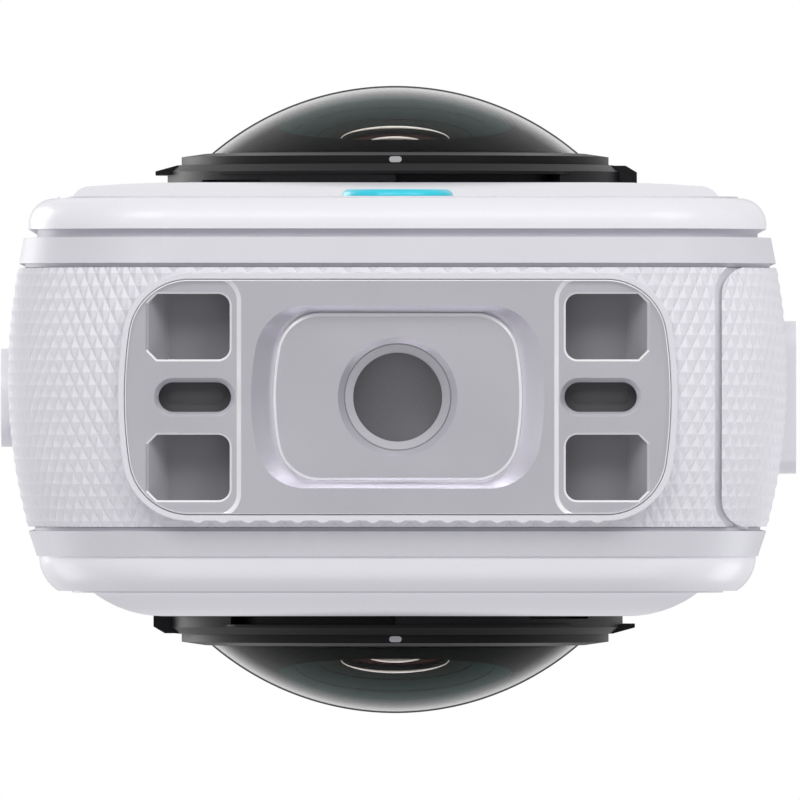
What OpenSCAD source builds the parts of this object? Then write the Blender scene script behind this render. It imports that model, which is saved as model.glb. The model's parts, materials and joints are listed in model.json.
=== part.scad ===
// Twin-lens 360 degree camera. Stands on its bottom plate at Z = 0.
// +X is the battery side, -Y is the front with the screen, +Z is up.

/* [Overall] */
// Width over the grip at its crest
body_w = 44.9; // [42:0.1:60]
// Height of the body
body_h = 124.5; // [120:0.5:160]
// Thickness from dome to dome
overall_d = 38.2; // [36.5:0.1:46]
// Radius of the two bottom corners, at the crest of the grip
corner_bottom = 9; // [7:0.5:12]
// Radius of the two top corners, at the crest of the grip
corner_top = 16; // [12:0.5:20]

/* [Grip and frame] */
// Half width of the grip band
grip_half = 7.43; // [7.2:0.01:9]
// Radius of the crown across the grip
grip_crown_r = 33; // [28:1:60]
// Offset of the crest of the grip towards the front
grip_crest = 1.2; // [0:0.1:2]
// Thickness of the grip at its crest
grip_t = 2.2; // [1.9:0.1:2.8]
// Groove between the grip and each rail
grip_groove = 0.25; // [0.1:0.05:0.5]
// Depth of that groove below the rail's edge
grip_groove_depth = 0.35; // [0.2:0.05:0.6]
// Wall of the chassis frame behind the grip
frame_t = 1.65; // [1.2:0.05:2.5]
// Width of the front rail
front_rail_w = 1.48; // [1:0.01:2]
// Width of the back rail
back_rail_w = 1.44; // [1:0.01:2]
// Step of the front rail in from the crest, beside the grip
front_rail_step = 0.7; // [0.5:0.05:1]
// Step of the back rail in from the crest, beside the grip
back_rail_step = 1.25; // [0.9:0.05:1.5]

/* [Shells and panels] */
// Groove between the front rail and the front shell
shell_groove = 0.49; // [0.2:0.01:0.8]
// Depth of the front shell
front_shell_d = 1.77; // [1.6:0.01:2.4]
// Rounding of the front shell's outer edge
front_shell_r = 1.5; // [1:0.1:1.5]
// Depth of the back shell
back_shell_d = 2; // [1.6:0.05:2.2]
// Rounding of the back shell's outer side
back_shell_r = 2.37; // [2.3:0.01:4]
// Gap along the edges of both panels
panel_seam = 0.1; // [0.05:0.01:0.12]
// Inset of the front panel's edge from the crest
front_panel_inset = 2.9; // [2.85:0.05:3.2]
// Inset of the back panel's edge from the crest
back_panel_inset = 3.75; // [3.5:0.05:4]
// Distance of each panel's face from the middle plane, round the lens
lens_face = 13.1; // [12.8:0.05:14]
// Rounding of the front panel's long edges
front_edge_r = 1.2; // [0.8:0.1:1.5]
// Radius of the crown beside the front panel's flat middle
front_crown_r = 80; // [60:1:120]
// Width of the crown on each side of the flat middle
front_crown_run = 7.5; // [6:0.1:9]
// Rounding of the back panel's long edges
back_crown_r = 6.76; // [5:0.01:8]

/* [Screen] */
// Width of the screen glass
glass_w = 34.4; // [28:0.1:36]
// Distance of the screen glass's upper edge from the rise to the lens
glass_margin = 3.7; // [2:0.1:10]
// Corner radius of the screen glass
glass_r = 3.5; // [2:0.1:6]
// Height of the screen glass's lower edge
glass_z = 15; // [14:0.5:17]

/* [Lenses] */
// Distance of the lens axis from the top
lens_drop = 22.5; // [21:0.5:26]
// Overlap of the bayonet ring over the lens mount
ring_lip = 1.46; // [1.2:0.02:1.8]
// Height of the bayonet ring
ring_t = 1.11; // [1:0.01:1.6]
// Outer radius of the bezel
bezel_r = 13; // [12.4:0.1:13.4]
// Height of the bezel
bezel_t = 0.7; // [0.5:0.01:0.9]
// Radius of the dome where it leaves the bezel
dome_edge_r = 11.2; // [10.8:0.1:11.6]
// Thickness of the dome glass
dome_t = 1.2; // [0.9:0.1:1.6]
// Radius of the lens barrel
barrel_r = 8.9; // [7.5:0.1:9]
// Wall of the lens mount outside its bayonet groove
mount_wall = 0.95; // [0.8:0.05:1.2]
// Turn that frees the bayonet
bayonet_turn = 30; // [26:1:40]

/* [Bottom plate] */
// Length of the bottom plate
plate_w = 31.1; // [30:0.1:32]
// Width of the bottom plate
plate_d = 13.3; // [12.6:0.1:13.6]
// Radius of the plate's bulged ends
plate_bulge_r = 25.6; // [20:0.1:40]
// Corner radius of the plate
plate_corner_r = 3.4; // [2.5:0.1:4]
// Width of the grip's rim round the plate
plate_rim = 0.4; // [0.3:0.05:0.45]
// Depth of the central recess
recess_depth = 1.1; // [0.8:0.1:1.4]
// Height of the raised pad on the recess's floor
pad_rise = 0.14; // [0.1:0.01:0.2]
// Radius of the tripod thread's bore
thread_r = 2.55; // [2.4:0.05:3.1]
// Length of the tripod thread's bore
thread_len = 5.4; // [5:0.1:5.8]
// Distance between the middles of the two alignment slots
slot_spacing = 23.2; // [22.6:0.1:23.6]
// Length of an alignment slot
slot_len = 4.14; // [3.6:0.02:4.4]
// Width of an alignment slot
slot_w = 1.69; // [1.4:0.01:2]

/* [Controls] */
// Diameter of the shutter button
shutter_d = 6.4; // [5:0.1:7]
// Height of the shutter button's middle
shutter_z = 8.6; // [8:0.1:9]
// Travel of every push button
button_travel = 0.4; // [0.2:0.05:0.45]
// Width of a side button across the grip
side_button_w = 5.7; // [4.5:0.1:6.5]
// Length of a side button
side_button_len = 10; // [8:0.5:11]
// Height of the quick button's middle
quick_z = 30; // [28:0.5:31]
// Height of the power button's middle
power_z = 43; // [42:0.5:44]
// Height of the buttons and the latch over the crest of the grip
proud = 0.55; // [0.3:0.05:0.7]

/* [Battery] */
// Length of the battery case, inwards from its cover
battery_len = 29.4; // [24:0.2:30]
// Height of the battery case
battery_h = 47; // [40:0.5:48]
// Thickness of the battery case
battery_t = 11.2; // [9:0.1:11.4]
// Height of the battery case's lower end
battery_z = 11; // [10.6:0.1:11.6]
// Distance of the cover's bottom seam from the middle
cover_seam = 18.15; // [17.5:0.05:19]
// Height of the cover's top edge
cover_top = 68; // [64:0.5:70]
// Gap along the cover's seams
cover_gap = 0.4; // [0.2:0.05:0.5]
// Length of the battery latch
latch_len = 12; // [9:0.5:13]
// Width of the battery latch
latch_w = 8.8; // [7:0.1:9.4]
// Travel of the battery latch
latch_travel = 3; // [2:0.1:3.5]

/* [Port door] */
// Width of the port door
door_w = 10.4; // [9:0.1:10.8]
// Height of the port door above its pin
door_h = 17; // [16:0.5:20]
// Height of the port door's pin
door_pin_z = 52; // [51.5:0.1:54]
// Radius of the port door's pin
door_pin_r = 0.4; // [0.3:0.05:0.5]

/* [Fits] */
// Clearance of a sliding or turning fit
slide_fit = 0.15; // [0.1:0.01:0.2]
// Clearance of a seated piece in its opening
seat_fit = 0.05; // [0.02:0.01:0.1]

/* [Hidden] */
$fn = 64;
hw = body_w / 2;
frame_inset = grip_t + frame_t;
inner_x = hw - frame_inset;
lens_z = body_h - lens_drop;
cut = 1;

// Depth levels of the front, from the grip outwards
front_rail_y = -(grip_half + grip_groove);
front_rail_end = front_rail_y - front_rail_w;
front_shell_y = front_rail_end - shell_groove;
front_lip_y = front_shell_y - front_shell_d;
panel_lip = 0.85;
panel_proud = 0.1;
front_seat = front_lip_y + panel_lip;
front_face = -front_lip_y + panel_proud;

// Depth levels of the back, from the grip outwards
back_rail_y = grip_half + grip_groove;
back_rail_end = back_rail_y + back_rail_w;
back_lip_y = back_rail_end + back_shell_d;
back_seat = back_lip_y - panel_lip;
back_face = back_lip_y + panel_proud;

// Sections of the frame and the shells, as insets from the crest
front_rail_slope = 0.28;
back_rail_slope = 0.48;
groove_floor_step = 1.75;
grip_fit = 0.03;
front_shell_inset = 1.25;
back_shell_inset = 1.85;
shell_ledge = 1.4;
back_ledge = 0.85;

// Lens radii, outwards from the barrel
ring_bore = barrel_r + 0.3;
spigot_r = ring_bore + 1.2;
mount_bore = spigot_r + slide_fit;
lug_r = mount_bore + 0.75;
groove_r = lug_r + slide_fit;
mount_r = groove_r + mount_wall;
ring_r = mount_r + ring_lip;

// Rise of the panels to the lens
hump_run = 7;
hump_top_z = lens_z - ring_r;
hump_start_z = hump_top_z - hump_run;
top_round_r = 5;
glass_h = hump_start_z - glass_margin - glass_z;
glass_mid_z = glass_z + glass_h / 2;
glass_sunk = 0.04;

// Lens stack, outwards from the middle plane
ring_gap = 0.04;
ring_z0 = lens_face + ring_gap;
ring_z1 = ring_z0 + ring_t;
bezel_z1 = ring_z1 + bezel_t;
dome_top = overall_d / 2;
dome_rise = dome_top - bezel_z1;
dome_r = (dome_edge_r * dome_edge_r + dome_rise * dome_rise) / (2 * dome_rise);
dome_mid = dome_top - dome_r;
dome_seat = ring_z1 + 0.15;
lug_z0 = lens_face - 1.7;
lug_z1 = lens_face - 0.9;
mount_face = lens_face - 0.15;
mount_flange = 1.6;
mount_flange_t = 1.2;
lug_span = 24;
lug_slot_span = 28;
barrel_top = ring_z1 - 0.1;
barrel_flange_z = lug_z0 - 0.5;
barrel_foot = 17;
bracket_half = 1.1;
sensor_board_t = 0.8;
sensor_t = 1;
sensor_board_z = bracket_half + sensor_board_t;
element_r = 6.2;
element_z = lug_z0 - 1;
ring_bevel = 0.41;
ring_bevel_run = 0.55;
rib_span = 100;
rib_proud = 0.15;
rib_z0 = ring_z0 + 0.5;
rib_top = ring_z1 - 0.03;
finger_gap_span = 46;
finger_gap_depth = 1;
notch_turn = -136.8;
notch_w = 5.2;
notch_h = 0.16;
tab_w = 5;
tab_root = ring_r - 1;
tab_reach = ring_r + 0.72;
tab_z0 = ring_z1 - 0.6;
tab_t = 0.22;
stop_reach = ring_r + 0.84;
bezel_slope = 0.2;
bezel_crest = 0.4;
mark_w = 0.75;
mark_h = 0.36;
mark_t = 0.08;
lens_seal_t = 0.15;
lens_seal_fit = 0.15;
sensor_w = 12;
sensor_h = 10;
sensor_fit = 0.5;
sensor_board_w = 18;
barrel_waist_r = 7.4;
barrel_bore_r = 4;
barrel_foot_t = 2;
barrel_nose = 0.8;
cap_rise = 2;
bracket_plate = 26;
bracket_arm = 9;
lug_root = 0.4;

// Bottom plate and nut
plate_body_t = frame_inset;
plate_flange = 1.1;
plate_flange_t = 1.2;
nut_r = 4.2;
nut_mouth_r = 3.08;
mouth_chamfer = 0.35;
nut_chamfer = 0.45;
nut_z0 = recess_depth + mouth_chamfer + 0.1;
thread_z0 = nut_z0 + nut_chamfer;
thread_z1 = thread_z0 + thread_len;
nut_z1 = thread_z1 + 0.8;
boss_r = 6;
boss_z1 = nut_z1 - 1;
recess_w = 16.75;
recess_d = 10.46;
recess_bulge_r = 15;
recess_corner_r = 2.9;
recess_slope_x = 1.22;
recess_slope_y = 0.4;
end_field_x = 9.2;
end_field_r = 1.2;
end_field_depth = 0.25;
pocket_x0 = 9.6;
pocket_x1 = 14.3;
pocket_floor_x = 13.1;
pocket_y0 = 2.15;
pocket_y1 = 5.9;
pocket_depth = 3.2;
pocket_r = 0.68;
pocket_cut = 0.55;
edge_chamfer = 0.11;
slot_depth = 1.7;
slot_mouth = 0.26;
slot_floor_step = 0.42;
slot_floor_depth = 2.6;

// Battery, its bay and its cover
cover_back = grip_t - slide_fit;
case_x1 = hw - cover_back;
case_x0 = case_x1 - battery_len;
bay_fit = 0.4;
bay_t = 0.9;
bay_x0 = case_x0 - bay_fit - bay_t;
bay_half = battery_t / 2 + bay_fit;
bay_z0 = battery_z - bay_fit;
bay_z1 = battery_z + battery_h + bay_fit;
board_y = bay_half + bay_t + 0.6;
board_t = 1;
board_z1 = lens_z - 16;
board_z0 = bay_z0;
cover_corner_r = 1.6;
cover_over = 0.05;
cover_seam_depth = 0.55;
cover_lap = 1.9;
latch_sunk = 1.15;
latch_z = corner_bottom + 5 + latch_len / 2;
contact_t = 1;
contact_ys = [-3.6, -1.2, 1.2, 3.6];
contact_w = 0.7;
contact_h = 3;
contact_z = battery_z + battery_h / 2;
seal_lip = 0.25;
latch_groove_step = 1.6;
latch_groove_w = 0.4;
latch_corner_r = 1.5;
card_w = 12;
card_len = 15;
card_t = 1.5;
card_mouth = 0.9;
card_wall = 0.4;
case_r = 1.2;
case_seal_t = 0.8;
case_seal_inset = 0.5;
screw_boss_r = 1.3;
screw_head_t = 0.4;
screw_tip = 0.3;
chip_sizes = [[-9, 0, 12, 12, 1.2], [5, 0, 8, 10, 1], [-9, 14, 22, 6, 1.6]];
chip_z = bay_z1 + bay_t + card_t + 3;
spreader_w = 28;
spreader_t = 0.3;
speaker_w = 9;
speaker_h = 10;
speaker_t = 3.4;

// Port and its door, at the crest of the grip
door_y = -grip_crest;
door_pin_inset = 1.1;
door_end_r = 1;
door_gap = 0.25;
door_pin_x = -(hw - door_pin_inset);
door_pin_len = door_w + 1.4;
door_inside = grip_t - slide_fit;
port_w = 8.9;
port_t = 3.2;
port_z = door_pin_z + 9.1;
port_mouth = 3.4;
port_len = 7.4;
usb_board_len = 6.8;
seal_w = 10.2;
seal_t = 4.6;
seal_depth = 1.15;
port_open_w = 11.4;
port_open_t = 5.6;
port_wall = 0.3;
port_back = 1.2;
tongue_w = 6.7;
tongue_t = 0.7;
tongue_inset = 0.8;
usb_board_h = 15;
seal_wall = 0.8;
seal_web = 0.5;
door_corner_r = 2;

// Buttons
side_cap_inset = grip_t - button_travel - 0.1;
plunger_r = 1;
switch_r = 1.4;
switch_room = 0.6;
switch_top_inset = side_cap_inset + 1.5;
side_board_t = 0.8;
shutter_flange = 0.7;
shutter_proud = 0.42;
shutter_edge_r = 0.4;
shutter_plunger = 0.4;
shutter_board_y = front_seat + shutter_flange + shutter_plunger + button_travel + 0.6;
side_plunger = switch_top_inset - button_travel - 0.1 - side_cap_inset;
shutter_stop = -front_seat - shutter_flange;
shutter_switch_h = 0.55;
shutter_board_h = 6;
post_x = 6;
post_r = 0.9;
display_t = 1.9;
display_rim = 0.8;
screw_r = 0.45;
light_r = 0.5;
light_z = glass_z + glass_h + 1.9;
mic_x = 4;
mic_r = 0.5;
mic_w = 3.4;
mic_d = 2.6;
mic_t = 1.1;
mic_port_r = 0.3;
mic_mesh_t = 0.4;

// Flat shapes
module quarter_disc(r) intersection() { circle(r); square(r); }

module half_disc(r) intersection() { circle(r); translate([-r, 0]) square([2 * r, r]); }

module obround(w, len) {
    square([w, len - w], center = true);
    for (side = [0, 1])
        mirror([0, side]) translate([0, (len - w) / 2]) half_disc(w / 2);
}

module round_rect(w, h, r) {
    square([w - 2 * r, h], center = true);
    for (side = [0, 1]) mirror([side, 0]) {
        translate([w / 2 - r, -(h / 2 - r)]) square([r, h - 2 * r]);
        for (up = [0, 1]) mirror([0, up]) translate([w / 2 - r, h / 2 - r]) quarter_disc(r);
    }
}

// Rectangle with two bulged ends, whose corner arcs run tangent into the bulges
module bulged_rect(w, h, bulge, r) {
    arc_x = w / 2 - bulge;
    corner_y = h / 2 - r;
    turn = asin(corner_y / (bulge - r));
    corner_x = arc_x + (bulge - r) * cos(turn);
    far = 3 * r;
    difference() {
        intersection() {
            square([w + 2 * cut, h], center = true);
            translate([arc_x, 0]) circle(bulge, $fn = 180);
            translate([-arc_x, 0]) circle(bulge, $fn = 180);
        }
        for (side = [0, 1], up = [0, 1])
            mirror([side, 0]) mirror([0, up]) translate([corner_x, corner_y]) difference() {
                polygon([[0, 0], [far * cos(turn), far * sin(turn)], [far, far], [0, far]]);
                circle(r);
            }
    }
}

// Outline of the body seen from the front, moved in from the crest
module outline(inset) {
    bottom_x = hw - corner_bottom;
    top_x = hw - corner_top;
    top_z = body_h - corner_top;
    translate([-(hw - inset), corner_bottom]) square([2 * (hw - inset), top_z - corner_bottom]);
    translate([-bottom_x, inset]) square([2 * bottom_x, corner_bottom - inset]);
    translate([-top_x, top_z]) square([2 * top_x, corner_top - inset]);
    for (side = [0, 1]) mirror([side, 0]) {
        translate([bottom_x, corner_bottom]) mirror([0, 1]) quarter_disc(corner_bottom - inset);
        translate([top_x, top_z]) quarter_disc(corner_top - inset);
    }
}

// Placing
module along_x(x0, x1) translate([x0, 0, 0]) rotate([90, 0, 90]) linear_extrude(x1 - x0) children();

module along_y(y0, y1) translate([0, y1, 0]) rotate([90, 0, 0]) linear_extrude(y1 - y0) children();

module block(low, high) translate(low) cube(high - low);

module lens_place(back) translate([0, 0, lens_z]) rotate([90, 0, back ? 180 : 0]) children();

// Carries a flat section, drawn with the crest at x = 0, round the outline of the body
module sweep_outline() {
    bottom_run = hw - corner_bottom;
    top_run = hw - corner_top;
    for (side = [0, 1]) mirror([side, 0, 0]) {
        translate([hw, 0, corner_bottom])
            linear_extrude(body_h - corner_bottom - corner_top) children();
        translate([bottom_run, 0, corner_bottom]) rotate([-90, 0, 0])
            rotate_extrude(angle = 90) translate([corner_bottom, 0]) children();
        translate([top_run, 0, body_h - corner_top]) mirror([0, 0, 1]) rotate([-90, 0, 0])
            rotate_extrude(angle = 90) translate([corner_top, 0]) children();
    }
    translate([-bottom_run, 0, 0]) rotate([0, 90, 0]) linear_extrude(2 * bottom_run) children();
    translate([-top_run, 0, body_h]) mirror([0, 0, 1]) rotate([0, 90, 0])
        linear_extrude(2 * top_run) children();
}

// Section of the grip band between two insets
module grip_section(back) {
    intersection() {
        translate([-grip_crown_r, -grip_crest]) circle(grip_crown_r, $fn = 360);
        translate([-back, -grip_half]) square([back + cut, 2 * grip_half]);
    }
}

module frame_section() {
    front_groove = -front_rail_step - grip_groove_depth;
    back_groove = -back_rail_step - grip_groove_depth;
    side = grip_half + grip_fit;
    polygon([
        [-frame_inset, front_shell_y], [-groove_floor_step, front_shell_y],
        [-groove_floor_step, front_rail_end], [-front_rail_step - front_rail_slope, front_rail_end],
        [-front_rail_step, front_rail_y], [front_groove, front_rail_y], [front_groove, -side],
        [-grip_t, -side], [-grip_t, side], [back_groove, side], [back_groove, back_rail_y],
        [-back_rail_step, back_rail_y], [-back_rail_step - back_rail_slope, back_rail_end],
        [-frame_inset, back_rail_end]]);
}

module front_shell_section() {
    lip = front_panel_inset - panel_seam;
    round_x = front_shell_inset + front_shell_r;
    round_y = front_lip_y + front_shell_r;
    translate([-front_panel_inset - shell_ledge, front_seat])
        square([shell_ledge + panel_seam, front_shell_y - front_seat]);
    translate([-lip, front_lip_y]) square([lip - round_x, front_shell_y - front_lip_y]);
    translate([-round_x, round_y]) square([front_shell_r, front_shell_y - round_y]);
    translate([-round_x, round_y]) mirror([0, 1]) quarter_disc(front_shell_r);
}

module back_shell_section() {
    lip = back_panel_inset - panel_seam;
    translate([-back_panel_inset - back_ledge, back_rail_end])
        square([back_ledge + panel_seam, back_seat - back_rail_end]);
    intersection() {
        translate([-back_shell_inset - back_shell_r, back_rail_end]) circle(back_shell_r);
        translate([-lip, back_rail_end]) square([lip, back_shell_d]);
    }
}

// Section along a panel, from its seat outwards: flat face, rise to the lens, rounded top end
module panel_profile(seat, face, inset) {
    rise = lens_face - face;
    bend_r = (hump_run * hump_run + rise * rise) / (4 * rise);
    mid_z = hump_start_z + hump_run / 2;
    top_drop = rise + panel_proud;
    top_z = body_h - inset - sqrt(top_round_r * top_round_r - pow(top_round_r - top_drop, 2));
    translate([seat, 0]) square([face - seat, mid_z]);
    difference() {
        translate([seat, hump_start_z]) square([face + rise / 2 - seat, hump_run / 2]);
        translate([face + bend_r, hump_start_z]) circle(bend_r);
    }
    intersection() {
        translate([lens_face - bend_r, hump_top_z]) circle(bend_r);
        translate([seat, mid_z]) square([lens_face - seat, hump_run / 2]);
    }
    translate([seat, hump_top_z]) square([lens_face - seat, top_z - hump_top_z]);
    intersection() {
        translate([lens_face - top_round_r, top_z]) circle(top_round_r);
        translate([seat, top_z]) square([lens_face - seat, top_round_r]);
    }
}

// Section across the front panel at the lens: flat middle, gentle crown, rounded long edges
module front_crown() {
    half = hw - front_panel_inset;
    flat = half - front_crown_run;
    edge_x = half + seat_fit - front_edge_r;
    mid_y = lens_face - front_crown_r;
    edge_y = mid_y + sqrt(pow(front_crown_r - front_edge_r, 2) - pow(edge_x - flat, 2));
    turn = atan2(edge_x - flat, edge_y - mid_y);
    low = -front_seat - cut;
    far = 3 * front_edge_r;
    edge_lift = 0.003; // lets the rounding cross the crown
    difference() {
        translate([-half - cut, low]) square([2 * (half + cut), lens_face - low]);
        for (side = [0, 1]) mirror([side, 0]) {
            translate([flat, mid_y]) difference() {
                translate([0, front_crown_r - 2 * cut])
                    square([front_crown_run + 2 * cut, 3 * cut]);
                circle(front_crown_r, $fn = 720);
            }
            translate([edge_x + edge_lift * sin(turn), edge_y + edge_lift * cos(turn)]) difference() {
                polygon([[0, 0], [far * sin(turn), far * cos(turn)], [far, far], [far, 0]]);
                circle(front_edge_r);
            }
        }
    }
}

// Section across the back panel at the lens: flat middle and widely rounded long edges
module back_crown() {
    reach = sqrt(back_crown_r * back_crown_r - pow(back_crown_r - lens_face + back_face, 2));
    flat = hw - back_panel_inset - reach;
    half = hw - back_panel_inset + seat_fit;
    low = min(back_seat, lens_face - back_crown_r) - cut;
    difference() {
        translate([-half, low]) square([2 * half, lens_face - low]);
        for (side = [0, 1]) mirror([side, 0])
            translate([flat, lens_face - back_crown_r]) difference() {
                square(back_crown_r + cut);
                circle(back_crown_r, $fn = 180);
            }
    }
}

// Panel drawn on the +Y side: its outline cut to its lengthwise section and its crown
module panel_body(seat, face, inset) {
    intersection() {
        along_y(seat, lens_face + cut) outline(inset);
        linear_extrude(body_h) children();
        along_x(-hw, hw) panel_profile(seat, face, inset);
    }
}

module lens_opening() lens_place(false) translate([0, 0, -2 * lens_face])
    cylinder(h = 4 * lens_face, r = mount_r + seat_fit);

// Region of the grip that the battery cover takes
module cover_region(gap) {
    side_w = 2 * (grip_half + cover_over + cover_gap - gap);
    corner = cover_corner_r + cover_gap - gap;
    reach = 2 * corner_bottom;
    tall = cover_top + corner_bottom;
    intersection() {
        translate([cover_seam + gap + reach / 2, 0, -cut]) linear_extrude(cover_top + 2 * cut)
            round_rect(reach, side_w, corner);
        along_x(0, hw + 2 * cut) translate([0, cover_top - gap - tall / 2])
            round_rect(side_w, tall, corner);
    }
}

module plate_outline(grow)
    bulged_rect(plate_w + 2 * grow, plate_d + 2 * grow, plate_bulge_r + grow, plate_corner_r + grow);

module side_button_hole(z)
    along_x(-hw - cut, -hw + grip_t) translate([0, z])
        obround(side_button_w + 2 * slide_fit, side_button_len + 2 * slide_fit);

module door_pin_rod(r, len)
    translate([door_pin_x, door_y + len / 2, door_pin_z]) rotate([90, 0, 0]) cylinder(h = len, r = r);

// Body
module mid_frame() color("gainsboro") difference() {
    sweep_outline() frame_section();
    translate([0, 0, -cut]) linear_extrude(frame_inset + 2 * cut) plate_outline(seat_fit);
    block([inner_x - cut, -bay_half, bay_z0], [hw + cut, bay_half, bay_z1]);
    block([inner_x - cut, -card_w / 2, bay_z1 + bay_t + 0.2],
        [hw + cut, card_w / 2, bay_z1 + bay_t + card_t - 0.2]);
    along_x(-hw - cut, -inner_x + cut) translate([door_y, port_z])
        square([port_open_t, port_open_w], center = true);
    for (z = [quick_z, power_z])
        translate([-hw - cut, 0, z]) rotate([0, 90, 0])
            cylinder(h = frame_inset + 2 * cut, r = switch_r + switch_room);
    for (x = [-mic_x, mic_x])
        translate([x, 0, body_h - frame_inset - cut]) cylinder(h = frame_inset + 2 * cut, r = mic_r);
}

// Opening for the battery cover, with a shallow ledge of the grip under its seam
// Space of the grip deeper than a skin of the given thickness
module under_skin(skin) sweep_outline() intersection() {
    translate([-grip_crown_r - skin, -grip_crest]) circle(grip_crown_r, $fn = 360);
    translate([-grip_t - cut, -grip_half - cut]) square([grip_t + cut, 2 * (grip_half + cut)]);
}

// Room for the cover's thick part, inside the ledge that its thin rim laps over
module cover_room(fit) {
    edge_x = cover_seam + cover_gap + cover_lap + fit;
    edge_z = cover_top - cover_gap - cover_lap - fit;
    step_z = corner_bottom / 2 + fit;
    along_y(-grip_half - 1, grip_half + 1) polygon([[edge_x, -cut], [hw + cut, -cut], [hw + cut, edge_z],
        [cover_seam, edge_z], [cover_seam, step_z], [edge_x, step_z]]);
}

module cover_opening() {
    cover_room(0);
    difference() {
        cover_region(0);
        under_skin(cover_seam_depth);
    }
}

module grip_band() color("whitesmoke") difference() {
    union() {
        sweep_outline() grip_section(grip_t);
        translate([0, 0, panel_proud]) linear_extrude(grip_t - panel_proud)
            plate_outline(plate_rim + seat_fit);
    }
    translate([0, 0, -cut]) linear_extrude(grip_t + 2 * cut + corner_bottom / 2) plate_outline(seat_fit);
    cover_opening();
    along_x(-hw - cut, -hw + grip_t) translate([door_y, door_pin_z - door_pin_inset - door_gap])
        translate([-door_w / 2 - door_gap, 0])
            square([door_w + 2 * door_gap, door_h + door_pin_inset + 2 * door_gap]);
    door_pin_rod(door_pin_r, door_pin_len);
    side_button_hole(quick_z);
    side_button_hole(power_z);
    for (x = [-mic_x, mic_x])
        translate([x, 0, body_h - frame_inset]) cylinder(h = frame_inset + cut, r = mic_r);
}

module front_shell() color("white") sweep_outline() front_shell_section();

module back_shell() color("white") sweep_outline() back_shell_section();

module front_panel() color("white") {
    difference() {
        mirror([0, 1, 0]) panel_body(-front_seat, front_face, front_panel_inset) front_crown();
        lens_opening();
        along_y(-lens_face - cut, front_seat + cut) translate([0, glass_mid_z])
            round_rect(glass_w + 2 * seat_fit, glass_h + 2 * seat_fit, glass_r + seat_fit);
        translate([0, front_seat + cut, shutter_z]) rotate([90, 0, 0])
            cylinder(h = 2 * lens_face, r = shutter_d / 2 + slide_fit);
        translate([0, front_seat + cut, light_z]) rotate([90, 0, 0])
            cylinder(h = 2 * lens_face, r = light_r + seat_fit);
    }
    for (x = [-post_x, post_x])
        translate([x, shutter_board_y, shutter_z]) rotate([90, 0, 0])
            cylinder(h = shutter_board_y - front_seat, r = post_r);
}

module back_panel() color("white") difference() {
    panel_body(back_seat, back_face, back_panel_inset) back_crown();
    lens_opening();
}

// Bottom
// Cut that narrows from its first outline, at the mouth, to its second
module taper(z0, z1) {
    thin = 0.01;
    hull($fn = 32) {
        translate([0, 0, z0]) linear_extrude(thin) children(0);
        translate([0, 0, z1 - thin]) linear_extrude(thin) children(1);
    }
}

function arc_points(x, y, r, from, to, steps) =
    [for (i = [1 : steps]) [x + r * cos(from + (to - from) * i / steps),
        y + r * sin(from + (to - from) * i / steps)]];

// The bulged rectangle's outline as points, for sloped walls
module recess_outline(slope, inset) {
    r = recess_corner_r - slope * recess_slope_y - inset;
    arc_x = recess_w / 2 - slope * recess_slope_x - inset - recess_bulge_r;
    corner_y = recess_d / 2 - slope * recess_slope_y - inset - r;
    turn = asin(corner_y / (recess_bulge_r - r));
    corner_x = arc_x + (recess_bulge_r - r) * cos(turn);
    polygon(concat(
        arc_points(arc_x, 0, recess_bulge_r, -turn, turn, 10),
        arc_points(corner_x, corner_y, r, turn, 90, 10),
        arc_points(-corner_x, corner_y, r, 90, 180 - turn, 10),
        arc_points(-arc_x, 0, recess_bulge_r, 180 - turn, 180 + turn, 10),
        arc_points(-corner_x, -corner_y, r, 180 + turn, 270, 10),
        arc_points(corner_x, -corner_y, r, 270, 360 - turn, 10)));
}

module plate_recess() difference() {
    floor_z = recess_depth + pad_rise;
    taper(-edge_chamfer, floor_z) {
        recess_outline(-edge_chamfer / floor_z, 0);
        recess_outline(1, 0);
    }
    taper(recess_depth, floor_z + edge_chamfer) {
        recess_outline(1, pad_rise + seat_fit);
        recess_outline(1, seat_fit - edge_chamfer);
    }
}

// Lowered field at the plate's end, with a sloped step that turns round at the plate's long edges
module end_field() {
    slope = end_field_depth + edge_chamfer;
    mid_x = end_field_x + end_field_r;
    mid_y = plate_d / 2 + seat_fit - end_field_r;
    along_y(-mid_y, mid_y) polygon([[end_field_x - slope, -edge_chamfer], [plate_w, -edge_chamfer],
        [plate_w, end_field_depth], [end_field_x, end_field_depth]]);
    for (y = [-mid_y, mid_y]) translate([mid_x, y, -edge_chamfer])
        cylinder(h = slope, r1 = end_field_r + slope, r2 = end_field_r);
    block([mid_x, -plate_d, -cut], [plate_w, plate_d, end_field_depth]);
}

// Pocket's outline: two round corners towards the middle, two corners cut off at the plate's end
module pocket_outline(grow) {
    x0 = pocket_x0 - grow;
    x1 = pocket_x1 + grow;
    y0 = pocket_y0 - grow;
    y1 = pocket_y1 + grow;
    mid_y = (pocket_y0 + pocket_y1) / 2;
    r = pocket_r + grow;
    flat = pocket_cut + grow / 2;
    difference() {
        translate([x0, y0]) square([x1 - x0, y1 - y0]);
        for (up = [0, 1]) translate([0, mid_y]) mirror([0, up]) translate([0, -mid_y]) {
            translate([x0 + r, y1 - r]) difference() {
                translate([-r - cut, 0]) square(r + cut);
                circle(r);
            }
            polygon([[x1 - flat, y1], [x1, y1 - flat], [x1 + cut, y1 - flat], [x1 + cut, y1 + cut],
                [x1 - flat, y1 + cut]]);
        }
    }
}

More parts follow.
